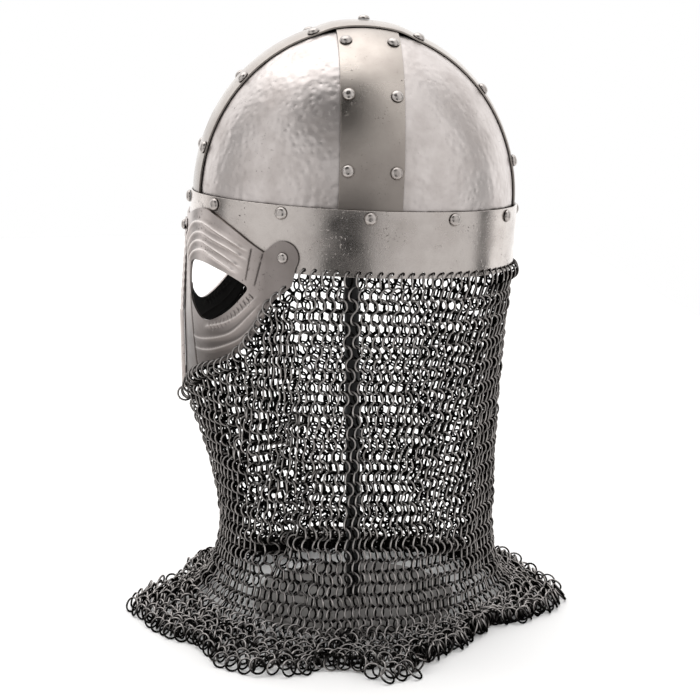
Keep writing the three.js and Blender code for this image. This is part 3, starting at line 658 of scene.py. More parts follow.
class StudioSettings(bpy.types.PropertyGroup):
    distance: FloatProperty(name="Distance", description="From the stand's axis to the camera, level",
                            default=1.15, min=0.3, subtype="DISTANCE", unit="LENGTH")
    height: FloatProperty(name="Camera height", description="Height of the camera above the table",
                          default=427.18 * MM, subtype="DISTANCE", unit="LENGTH")
    azimuth: FloatProperty(name="Azimuth", description="Camera's turn from the face to the wearer's left",
                           default=math.radians(83.689), subtype="ANGLE", unit="ROTATION")
    yaw: FloatProperty(name="Yaw", description="Turn of the camera away from the stand's axis",
                       default=math.radians(0.07), subtype="ANGLE", unit="ROTATION")
    pitch: FloatProperty(name="Pitch", description="Angle at which the camera looks down",
                         default=math.radians(11.758), subtype="ANGLE", unit="ROTATION")
    roll: FloatProperty(name="Roll", description="Roll of the camera about its own axis",
                        default=math.radians(-0.421), subtype="ANGLE", unit="ROTATION")
    lens: FloatProperty(name="Focal length", description="On a sensor 36 mm wide, in millimetres",
                        default=85.16, min=10)
    overhead: FloatProperty(name="Ceiling light", description="Strength of the wide light above, in W/m2",
                            default=0.95, min=0)
    fill: FloatProperty(name="Fill lights", description="Power of each light beside the camera, in watts",
                        default=5.0, min=0, subtype="POWER")


# Rows of rivets, as angles over the crown or round the band, and how far they are from a strap's middle
BROW_RIVETS = 12
BROW_RIVET_DROP = 5 * MM
RIDGE_RIVET_ANGLES = [15, 42, 71, 109, 138, 165]
RIDGE_RIVET_OFFSET = 18.8 * MM
CROSS_RIVET_ANGLES = [12, 38, 64.3]
CROSS_RIVET_OFFSET = 15.8 * MM
NOSE_RIVET_DROP = 5.3 * MM


def rivet_heads(sizes, places, axes, scale=1.0):
    """Domed rivet heads: the peened crown is a little flat, with a low mark in its middle."""
    profile = [(0, -0.05), (0.93, -0.05), (1.0, 0.05), (0.985, 0.2), (0.93, 0.4), (0.83, 0.6), (0.69, 0.77),
               (0.52, 0.9), (0.34, 0.975), (0.16, 0.99), (0, 0.97)]
    scaled = np.array(profile) * [sizes.rivet_radius * scale, sizes.rivet_rise * scale]
    points, faces = turned(scaled, 20)
    places = [np.asarray(place) + RIVET_GAP * np.asarray(axis) for place, axis in zip(places, axes)]
    return copies(points, faces, places, axes)


class HELMET_OT_bowl_plates(bpy.types.Operator):
    """Four plates, raised by hammer, that close the bowl under the straps"""
    bl_idname = "helmet.bowl_plates"
    bl_label = "Bowl plates"

    def execute(self, context):
        sizes, colours = context.scene.helmet_sizes, context.scene.helmet_colours
        # Raised by hammer and planished by eye: shallow round marks that break the light into dabs
        steel = hand_worked_steel("planished_mild_steel", colours.plate, colours.grime, 0.36,
                                  sizes.hammer_mark, 0.4 * MM, 0.0)
        # The inside faces take the material painted near black as shade
        scale = inside_in_painted_shade()
        for side_x, word_x in ((1, "left"), (-1, "right")):
            for side_y, word_y in ((-1, "front"), (1, "back")):
                node = f"bowl_plate_{word_y}_{word_x}"
                points, quads, within = self.plate(side_x, side_y)
                piece = add_mesh(f"hammered_{node}", points, [quads], [steel, scale], within, sharp=60)
                settle(piece, "plate_steel", node)
        return {"FINISHED"}

    @staticmethod
    def plate(side_x, side_y):
        columns, rows, crown_hole = 44, 48, 4
        share = np.arange(rows) / (rows - 1)
        elevation = np.radians(np.concatenate([[0], share]) * (90 - crown_hole))[:, None]
        drop = np.concatenate([[STRAP_TUCK], np.zeros(rows)])[:, None]
        azimuth = np.radians(np.linspace(0, 90, columns + 1))[None, :]
        if side_x * side_y > 0:
            azimuth = azimuth[:, ::-1]
        half = PLATE_SEAM / 2

        def sheet(inset):
            wide, long = BOWL_HALF_WIDTH - inset - half, BOWL_HALF_LENGTH - inset - half
            rise = BOWL_RISE + STRAP_INSET - inset
            x = side_x * (half + wide * np.cos(elevation) * np.sin(azimuth))
            y = side_y * (half + long * np.cos(elevation) * np.cos(azimuth))
            z = BROW_HEIGHT - drop + rise * np.sin(elevation) + 0 * azimuth
            return np.stack([x, y, z], -1)

        def dented(inset):
            # Slow swells left by the raising, at most a quarter of a millimetre, none under the straps
            points = sheet(inset)
            x, y, z = (points[..., i] / MM for i in range(3))
            swell = np.sin(x / 9.1 + 1.3) * np.sin(y / 11.3) + np.sin(y / 6.7 + z / 8.3) * np.sin(x / 7.9)
            away = np.minimum(np.abs(x) - 23, np.abs(y) - 21).clip(0, 8) / 8
            away = away * (z > BROW_HEIGHT / MM)
            centre = points - [0, 0, BROW_HEIGHT]
            length = np.linalg.norm(centre, axis=-1, keepdims=True)
            return points + centre / length * (swell * away * 0.12 * MM)[..., None]

        return shell(dented(PLATE_INSET), dented(PLATE_INSET + SHEET))


class HELMET_OT_straps(bpy.types.Operator):
    """The ridge band over the crown and the cross bands that run up to it from the ears"""
    bl_idname = "helmet.straps"
    bl_label = "Straps"

    def execute(self, context):
        colours = context.scene.helmet_colours
        # Strip sheared from flat sheet, filed and oiled: smoother than the plates, with faint marks
        steel = hand_worked_steel("filed_steel_strip", colours.strap, colours.grime, 0.28, 16 * MM, 0.2 * MM,
                                  0.02, scratch=0.08)
        scale = bpy.data.materials["painted_shade_black"]
        edge = RIDGE_WIDTH / 2 + RIVET_GAP
        inset = STRAP_INSET + SHEET
        narrowing = math.sqrt(1 - (CROSS_WIDTH / 2 / (BOWL_HALF_LENGTH - inset)) ** 2)
        ear_end = math.degrees(math.acos(edge / ((BOWL_HALF_WIDTH - inset) * narrowing)))
        rows = [
            ("ridge_band", 0, 180, 120, RIDGE_WIDTH, True, (1, 1)),
            ("cross_band_right", 0, ear_end, 60, CROSS_WIDTH, False, (1, 0)),
            ("cross_band_left", 180 - ear_end, 180, 60, CROSS_WIDTH, False, (0, 1)),
        ]
        for node, start, end, steps, width, along_length, tucks in rows:
            angle = np.linspace(start, end, steps + 1)
            drop = np.zeros(steps + 1)
            if tucks[0]:
                angle, drop = np.concatenate([[start], angle]), np.concatenate([[STRAP_TUCK], drop])
            if tucks[1]:
                angle, drop = np.concatenate([angle, [end]]), np.concatenate([drop, [STRAP_TUCK]])
            across = np.linspace(-width / 2, width / 2, 17) * (1 if along_length else -1)
            sheets = [strap_point(angle[:, None], across[None, :], drop[:, None], depth, along_length)
                      for depth in (STRAP_INSET, STRAP_INSET + SHEET)]
            points, quads, within = shell(*sheets)
            piece = add_mesh(f"filed_{node}", points, [quads], [steel, scale], within)
            # Painted shade: towards the brow the straps are painted darker
            dark = 0.45 * np.clip(1 - (points[:, 2] - BROW_HEIGHT) / (75 * MM), 0, 1)
            mark_points(piece, "painted_shade", dark)
            round_edges(piece, 0.3 * MM)
            settle(piece, "strap_steel", node)
        return {"FINISHED"}


class HELMET_OT_brow_band(bpy.types.Operator):
    """The band round the brow, pierced along its lower edge for the mail"""
    bl_idname = "helmet.brow_band"
    bl_label = "Brow band"

    def execute(self, context):
        colours = context.scene.helmet_colours
        # Strip like the straps', polished more and paler, with brown pits in patches
        steel = hand_worked_steel("filed_steel_band", colours.band, colours.grime, 0.22, 18 * MM, 0.15 * MM,
                                  0.04, scratch=0.08)
        half = ARC_LENGTHS[-1]
        corners = np.array([(-half, 0.0), (half, 0.0), (half, BROW_HEIGHT), (-half, BROW_HEIGHT)])
        holes = [hole_outline((side * length, BAND_HOLE_HEIGHT), HOLE_RADIUS)
                 for side in (1, -1) for length in band_lengths()]
        flat, faces = cut_sheet(even(corners, BAND_GRID), holes, BAND_GRID)
        # The two ends meet behind the head and are one
        start, end = (np.flatnonzero(np.abs(flat[:, 0] - x) < 0.01 * MM) for x in (-half, half))
        merged = np.arange(len(flat))
        merged[end[np.argsort(flat[end, 1])]] = start[np.argsort(flat[start, 1])]
        faces = merged[faces]
        turn, z = turn_along(flat[:, 0]), flat[:, 1]
        points, groups, within = thicken(faces, wall_point(turn, z, 0.0), wall_point(turn, z, SHEET))
        used = np.zeros(len(points), dtype=bool)
        for group in groups:
            used[group] = True
        number = np.cumsum(used) - 1
        points, groups = points[used], [number[group] for group in groups]
        scale = bpy.data.materials["painted_shade_black"]
        piece = add_mesh("filed_brow_band", points, groups, [steel, scale], within)
        round_edges(piece, 0.3 * MM)
        settle(piece, "brow_steel", "brow_band")
        return {"FINISHED"}


class HELMET_OT_visor(bpy.types.Operator):
    """The embossed spectacle visor and its roped nose guard"""
    bl_idname = "helmet.visor"
    bl_label = "Visor"

    def execute(self, context):
        sizes, colours = context.scene.helmet_sizes, context.scene.helmet_colours
        # Sheet chased over pitch and scoured, with a painted highlight on the crests and painted brown-grey
        # shade in the grooves
        steel = hand_worked_steel("chased_mild_steel", colours.visor, colours.grime, 0.34, 12 * MM, 0.15 * MM,
                                  0.04)
        scale = bpy.data.materials["painted_shade_black"]
        self.face(sizes, steel, scale)
        self.nose_guard(sizes, steel, scale)
        return {"FINISHED"}

    @staticmethod
    def lines():
        """Ribs and grooves of one side as (line, height in ribs, width in ribs)."""
        rows = [(smooth_line(np.array(rib) * [VISOR_HALF_SPAN, VISOR_RISE], 2, closed=False), 1.0, 1.0)
                for rib in BROW_RIBS]
        for rib in CHEEK_RIBS:
            line = smooth_line(np.array(rib) * [VISOR_HALF_SPAN, -VISOR_DROP], 2, closed=False)
            rows.append((line, 0.75, 1.0))
        for groove in EAR_GROOVES:
            rows.append((np.array(groove) * [VISOR_HALF_SPAN, VISOR_RISE], -0.35, 0.45))
        rows.append((np.array(NOSE_GROOVE) * [VISOR_HALF_SPAN, -VISOR_DROP], -0.6, 0.5))
        # Short bars punched side by side under the eye
        feet = smooth_line(np.array(EYE_BAR_FEET) * [VISOR_HALF_SPAN, -VISOR_DROP], 2, closed=False)
        feet = evenly_along(feet, EYE_BARS)
        heading = unit(np.gradient(feet, axis=0))
        away = np.stack([heading[:, 1], -heading[:, 0]], 1) * EYE_BAR_LENGTH
        rows += [(np.array([foot, foot + reach]), -0.4, 0.4) for foot, reach in zip(feet, away)]
        return rows

    def face(self, sizes, steel, scale):
        half = half_outline()
        mirrored = half[1:-1][::-1] * [-1, 1]
        outline = even(np.concatenate([mirrored, half])[::-1], VISOR_EDGE_STEP)
        holes = []
        for side in (1, -1):
            corners = [(EYE_INSET + along * EYE_LENGTH, -EYE_TOP - down * EYE_HEIGHT)
                       for along, down in EYE_EDGE]
            eye = smooth_line(np.array(corners) * [side, 1], 2)
            holes.append(even(eye, VISOR_EDGE_STEP))
            for centre in mail_holes():
                holes.append(hole_outline(centre * [side, 1], HOLE_RADIUS, 8))
        crests = [even(line * [side, 1], RIB_STEP, closed=False)
                  for side in (1, -1) for line, _, _ in self.lines()]
        flat, faces = cut_sheet(outline, holes, VISOR_GRID, crests)
        height, crest, dark = np.zeros(len(flat)), np.zeros(len(flat)), np.zeros(len(flat))
        for side in (1, -1):
            for line, rise, width in self.lines():
                apart, along = distance_to_line(flat, line * [side, 1])
                if rise > 0:
                    fade = np.clip(np.minimum(along * 9 + 0.2, (1 - along) * 9 + 0.2), 0, 1)
                    height += rise * fade * np.clip(1 - apart / (width * sizes.rib_width), 0, 1) ** 1.7
                    # Painted highlight along the crests of the ribs
                    crest = np.maximum(crest, rise ** 4 * fade * np.exp(-(apart / (0.5 * MM)) ** 2))
                else:
                    sunk = np.exp(-(apart / (width * sizes.rib_width / 2.4)) ** 2)
                    height += rise * sunk
                    # Painted shade in the grooves
                    dark = np.maximum(dark, 0.8 * sunk)
        height *= sizes.rib_height
        length, z = flat[:, 0], flat[:, 1]
        outer = visor_point(length, z, height)
        inner = visor_point(length, z, height - VISOR_SHEET)
        points, groups, within = thicken(faces, outer, inner)
        piece = add_mesh("chased_visor", points, groups, [steel, scale], within, sharp=50)
        # Painted shade and painted dark reflection: the cheeks, the ear tabs, the flutes beside the nose and
        # the grooves are painted darker than the brow, less so on the crests
        low = np.clip((-12 * MM - z) / (45 * MM), 0, 1)
        behind = np.clip((np.abs(length) - 0.62 * VISOR_HALF_SPAN) / (0.2 * VISOR_HALF_SPAN), 0, 1)
        bend = 0.65 * np.exp(-((np.abs(length) / VISOR_HALF_SPAN - 0.24) / 0.08) ** 2)
        dark = np.maximum.reduce([0.9 * low ** 0.7, 0.6 * behind, bend, dark]) * (1 - 0.7 * crest)
        mark_points(piece, "painted_shade", np.tile(dark, 2))
        mark_points(piece, "painted_crest_highlight", np.tile(crest, 2))
        settle(piece, "visor_steel", "visor")

    @staticmethod
    def nose_guard(sizes, steel, scale):
        across = np.linspace(-1, 1, 25)[None, :]
        z = np.arange(NOSE_BOTTOM, NOSE_TOP, 0.7 * MM)[:, None]
        rounded = np.sqrt(1 - (across * 0.93) ** 2)
        rope = np.cos(2 * math.pi * (z / sizes.rope_pitch + across * 0.6)) * sizes.rope_depth
        ridged = (np.cos(across * math.pi * 3) * 0.5 + 0.3 * rounded) * sizes.rope_depth
        below = np.clip((BEND_HEIGHT - z) / (1.5 * MM), 0, 1)
        # Over the brow it is drawn thin, and it thickens down to the bend
        thick = np.interp(z, [-30 * MM, 5 * MM], [1.0, 0.45])
        relief = (rope - 0.35 * MM) * rounded * (1 - below) + (ridged + 0.2 * MM) * below
        above = NOSE_SEAT * thick + NOSE_SHEET * thick * (0.35 + 0.65 * rounded) + relief
        length = across * NOSE_HALF_WIDTH + 0 * z
        outer = visor_point(length, z + 0 * across, above)
        inner = visor_point(length, z + 0 * across, NOSE_SEAT * thick)
        points, quads, within = shell(outer, inner)
        piece = add_mesh("roped_nose_guard", points, [quads], [steel, scale], within, sharp=70)
        settle(piece, "visor_steel", "nose_guard")


class HELMET_OT_rivets(bpy.types.Operator):
    """Rivet heads on the brow band, the straps and the visor"""
    bl_idname = "helmet.rivets"
    bl_label = "Rivets"

    def execute(self, context):
        sizes, colours = context.scene.helmet_sizes, context.scene.helmet_colours
        # Peened rivet heads: small smooth domes, so that each mirrors the whole room
        steel = hand_worked_steel("peened_rivet_steel", colours.rivet, colours.grime, 0.25, 3 * MM, 0.15 * MM,
                                  0.03)
        groups = {"brow": self.brow(), "strap": self.straps(), "visor": self.visor()}
        nodes = {
            "brow": nodes_named("rivet_brow"),
            "strap": nodes_named("rivet_crown", "rivet_ridge", "rivet_cross"),
            "visor": nodes_named("rivet_visor"),
        }
        for word, found in groups.items():
            places, axes = zip(*found)
            points, faces = rivet_heads(sizes, places, axes, 0.86 if word == "visor" else 1.0)
            piece = add_mesh(f"{word}_rivets", points, faces, [steel], sharp=60)
            settle(piece, "rivet_steel", *nodes[word])
        return {"FINISHED"}

    @staticmethod
    def brow():
        feet = [wall_point(index * 360 / BROW_RIVETS, BROW_HEIGHT - BROW_RIVET_DROP, 0.0)
                for index in range(BROW_RIVETS)]
        return [(foot, bowl_normal(foot, 0.0)) for foot in feet]

    @staticmethod
    def straps():
        feet = []
        for side in (1, -1):
            feet += [strap_point(angle, side * RIDGE_RIVET_OFFSET, 0, STRAP_INSET, True)
                     for angle in RIDGE_RIVET_ANGLES]
            for angle in CROSS_RIVET_ANGLES:
                along = 180 - angle if side > 0 else angle
                feet += [strap_point(along, offset, 0, STRAP_INSET, False)
                         for offset in (-CROSS_RIVET_OFFSET, CROSS_RIVET_OFFSET)]
        found = [(foot, bowl_normal(foot, STRAP_INSET)) for foot in feet]
        crown = strap_point(90, 0.0, 0, STRAP_INSET, True)
        return found + [(crown, np.array([0, 0, 1.0]))]

    @staticmethod
    def visor():
        spots = [(TAB_CENTRE[0], TAB_CENTRE[1], 0.0), (-TAB_CENTRE[0], TAB_CENTRE[1], 0.0),
                 (0.0, NOSE_TOP - NOSE_RIVET_DROP, 0.5 * (NOSE_SEAT + NOSE_SHEET))]
        feet = [visor_point(length, z, above) for length, z, above in spots]
        return [(foot, bowl_normal(foot * [1, 1, 0], VISOR_INSET)) for foot in feet]


# Mail. turn is 0 at the face and 90 at the wearer's left, reach a share of the skirt's reach, lift a
# share of its height by which the hem lies on folds, and slope is 0 where the mail drops straight to
# the table and 1 where it slants out from the waist.
SKIRT_LOBES = [
    (0, 1.02, 0.0, 0.5), (13, 0.96, 0.0, 0.35), (27, 0.92, 0.0, 0.3), (37, 0.86, 0.04, 0.25),
    (43, 0.88, 0.0, 0.2), (54, 0.95, 0.0, 0.1), (63, 0.96, 0.0, 0.0), (70, 0.92, 0.0, 0.0),
    (78, 0.82, 0.02, 0.0), (84, 0.83, 0.03, 0.0), (91, 0.96, 0.02, 0.0), (97, 0.94, 0.0, 0.0),
    (103, 0.84, 0.02, 0.0), (110, 0.76, 0.0, 0.0),
    (128, 0.7, 0.03, 0.1), (139, 0.68, 0.02, 0.15), (151, 0.82, 0.0, 0.2), (164, 0.92, 0.0, 0.3),
    (174, 0.96, 0.0, 0.3), (192, 0.91, 0.0, 0.35), (206, 0.87, 0.1, 0.6), (216, 0.8, 0.04, 0.5),
    (232, 0.9, 0.0, 0.4), (252, 0.82, 0.03, 0.2), (270, 0.9, 0.0, 0.3), (290, 0.84, 0.02, 0.5),
    (308, 0.9, 0.05, 0.7), (321, 0.86, 0.1, 0.8), (333, 0.86, 0.0, 0.5), (346, 0.98, 0.0, 0.45),
    (360, 1.02, 0.0, 0.5),
]
# Creases: the turn and row where each starts and ends, its depth as a share of the waist's half width,
# and its width in degrees
MAIL_CREASES = [
    (89, -5, 89, 34, -0.09, 9), (118, -5, 118, 50, -0.045, 12), (56, 14, 60, 50, -0.03, 12),
    (148, -5, 148, 50, -0.03, 10), (215, -5, 215, 50, -0.05, 13), (262, -5, 262, 50, -0.06, 12),
    (305, -5, 305, 50, -0.04, 12), (66, 11, 38, 21, -0.11, 4.5), (58, 6, 30, 16, -0.11, 4.5),
    (72, 17, 46, 27, -0.11, 4), (78, 20, 62, 30, -0.05, 3.5), (107, 9, 101, 30, -0.04, 5),
]
UPRIGHT_SKIRT_ROWS = 7  # rows of the skirt that hang; the others lie closer together on the table
HANGING_PITCH = 8.1 * MM
SIDE_GATHER = 4.5  # degrees by which the columns crowd towards the sides of the waist
BEZIER = np.linspace(0, 1, 25)
CHIN_RING = (0.0, -118.5 * MM, 160.5 * MM)


def band_lengths():
    """Where the columns hang from the brow band behind the ear tabs, as lengths from the nose line."""
    free = ARC_LENGTHS[-1] - VISOR_HALF_SPAN
    return VISOR_HALF_SPAN + (np.arange(BAND_COLUMNS) + 0.5) / BAND_COLUMNS * free


def band_turns():
    """Turns of the columns that hang from the brow band, behind the ear tabs, on one side."""
    return turn_along(band_lengths())


def column_turns():
    """Turns at the rim of all the columns of rings, from the face round by the wearer's left."""
    near = np.concatenate([turn_along(mail_holes()[:, 0]), band_turns()])
    return np.concatenate([near, 360 - near[::-1]])


def upright(points):
    """From the helmet's tilted frame to the upright one."""
    x, y, z = points[..., 0], points[..., 1], points[..., 2]
    cos, sin = math.cos(TILT), math.sin(TILT)
    return np.stack([x, y * cos + z * sin, RIM_HEIGHT + z * cos - y * sin], -1)


def on_skirt(waist, hem_reach, hem_height, slope, row, skirt_rows):
    """Reach and height of the skirt at a row counted down from the waist."""
    spread = hem_reach - waist
    reaches = [waist, waist + 0.1 * slope * spread, waist + 0.6 * slope * spread, hem_reach]
    heights = [SKIRT_HEIGHT + 0 * waist, SKIRT_HEIGHT * (0.05 + 0.75 * slope),
               SKIRT_HEIGHT * 0.12 * slope + hem_height, hem_height]
    weights = [(1 - BEZIER) ** 3, 3 * BEZIER * (1 - BEZIER) ** 2, 3 * BEZIER ** 2 * (1 - BEZIER), BEZIER ** 3]
    reach = sum(value[:, None] * weight for value, weight in zip(reaches, weights))
    height = sum(value[:, None] * weight for value, weight in zip(heights, weights))
    lengths = np.cumsum(np.hypot(np.diff(reach, axis=1), np.diff(height, axis=1)), axis=1)
    lengths = np.pad(lengths, ((0, 0), (1, 0)))
    hanging = np.minimum(row, UPRIGHT_SKIRT_ROWS) * HANGING_PITCH
    lying = np.clip(row - UPRIGHT_SKIRT_ROWS, 0, None) / (skirt_rows - UPRIGHT_SKIRT_ROWS)
    wanted = hanging + lying * (lengths[:, -1] - UPRIGHT_SKIRT_ROWS * HANGING_PITCH)
    before = np.clip((lengths < wanted[:, None]).sum(1) - 1, 0, len(BEZIER) - 2)
    ring = np.arange(len(wanted))
    share = (wanted - lengths[ring, before]) / (lengths[ring, before + 1] - lengths[ring, before])
    share = np.clip(share, 0, 1)
    return (reach[ring, before] + share * (reach[ring, before + 1] - reach[ring, before]),
            height[ring, before] + share * (height[ring, before + 1] - height[ring, before]))


def mail_point(rim_turn, waist_turn, row, sizes):
    """Middle of the mail in a column with these turns at rim and waist, at a row counted down from the
    rim, and the height of the edge that the column hangs from."""
    settled = np.clip(row / (0.9 * sizes.tube_rows), 0, 1) ** 1.2
    turn = (rim_turn + (waist_turn - rim_turn) * settled) % 360
    around = np.abs((turn + 180) % 360 - 180)
    length = np.interp(around, ARC_TURNS, ARC_LENGTHS)
    edge = np.where(length < VISOR_HALF_SPAN, lower_edge(length), 0.0)
    top = upright(wall_point(turn, edge, MAIL_HALF_WALL))
    rim = upright(wall_point(turn, 0 * edge, MAIL_HALF_WALL))
    top_reach = np.hypot(top[..., 0], top[..., 1])
    direction = top[..., :2] / top_reach[..., None]
    waist_long = np.where(direction[..., 1] < 0, WAIST_FRONT, WAIST_BACK)
    waist = 1 / np.hypot(direction[..., 0] / WAIST_SIDE, direction[..., 1] / waist_long)
    crease = np.zeros(len(turn))
    for turn_a, row_a, turn_b, row_b, depth, width in MAIL_CREASES:
        middle = np.interp(row, [row_a, row_b], [turn_a, turn_b])
        apart = np.abs((turn - middle + 540) % 360 - 180)
        fade = np.clip(np.minimum(row - row_a, row_b - row) / 3 + 0.5, 0, 1)
        crease += depth * WAIST_SIDE * fade * np.exp(-(apart / width) ** 2)
    share = np.clip(row / sizes.tube_rows, -0.1, 1)
    z = rim[..., 2] + (SKIRT_HEIGHT - rim[..., 2]) * share
    climb = np.clip((z - SKIRT_HEIGHT) / (top[..., 2] - SKIRT_HEIGHT), 0, 1.2)
    lobes = np.array(SKIRT_LOBES)
    after = np.clip(np.searchsorted(lobes[:, 0], turn, side="right"), 1, len(lobes) - 1)
    between = (turn - lobes[after - 1, 0]) / (lobes[after, 0] - lobes[after - 1, 0])
    between = (between ** 2 * (3 - 2 * between))[:, None]
    hem = lobes[after - 1, 1:] * (1 - between) + lobes[after, 1:] * between
    lower_waist = waist + crease
    skirt_reach, skirt_z = on_skirt(lower_waist, hem[:, 0] * SKIRT_REACH,
                                    MAIL_HALF_WALL + hem[:, 1] * SKIRT_HEIGHT, hem[:, 2],
                                    np.clip(row - sizes.tube_rows, 0, sizes.skirt_rows), sizes.skirt_rows)
    reach = waist + (top_reach - waist) * climb ** 1.7 + crease * np.clip(1.6 - 1.6 * climb, 0, 1)
    # The rows that lie on the table are crumpled
    flat = np.clip((row - sizes.tube_rows - UPRIGHT_SKIRT_ROWS) / 3, 0, 1)
    rumple = (np.sin(turn / 3.1 + row * 0.9) + np.sin(turn / 4.7 - row * 1.3 + 2.0)
              + np.sin(turn / 1.9 + row * 0.4 + 1.0))
    near = np.clip(1.6 - np.abs(turn - 80) / 40, 0.25, 1)
    skirt_z = skirt_z + flat * near * np.clip(rumple, 0, 2.2) * 2.4 * MM
    in_skirt = row > sizes.tube_rows
    reach = np.where(in_skirt, skirt_reach, reach)
    z = np.where(in_skirt, skirt_z, z)
    return np.stack([direction[..., 0] * reach, direction[..., 1] * reach, z], -1), top[..., 2]


def ring_mesh(centres, down, across, outward, ring_radius, wire_radius, around=16, section=6):
    """Points and quads of many wire rings, each in the plane of its down and across directions, and a
    painted highlight share at each point, which is high only on the outside of the mail."""
    axis = np.cross(down, across)
    theta = np.arange(around) * 2 * math.pi / around
    phi = np.arange(section) * 2 * math.pi / section
    spoke = (np.cos(theta)[None, :, None] * down[:, None, :]
             + np.sin(theta)[None, :, None] * across[:, None, :])[:, :, None, :]
    normal = (spoke * np.cos(phi)[None, None, :, None]
              + axis[:, None, None, :] * np.sin(phi)[None, None, :, None])
    from_centre = spoke * ring_radius + normal * wire_radius
    points = centres[:, None, None, :] + from_centre
    raised = (from_centre * outward[:, None, None, :]).sum(-1) / ring_radius
    facing = (normal * outward[:, None, None, :]).sum(-1)
    painted_highlight = np.clip(0.2 + 1.6 * raised, 0, 1) * np.clip(2.0 * facing - 0.4, 0, 1)
    i, k = np.meshgrid(np.arange(around), np.arange(section), indexing="ij")
    i2, k2 = (i + 1) % around, (k + 1) % section
    quads = np.stack([i * section + k, i * section + k2, i2 * section + k2, i2 * section + k], -1)
    quads = quads.reshape(-1, 4)
    first = np.arange(len(centres))[:, None, None] * around * section
    return points.reshape(-1, 3), (first + quads[None]).reshape(-1, 4), painted_highlight.ravel()


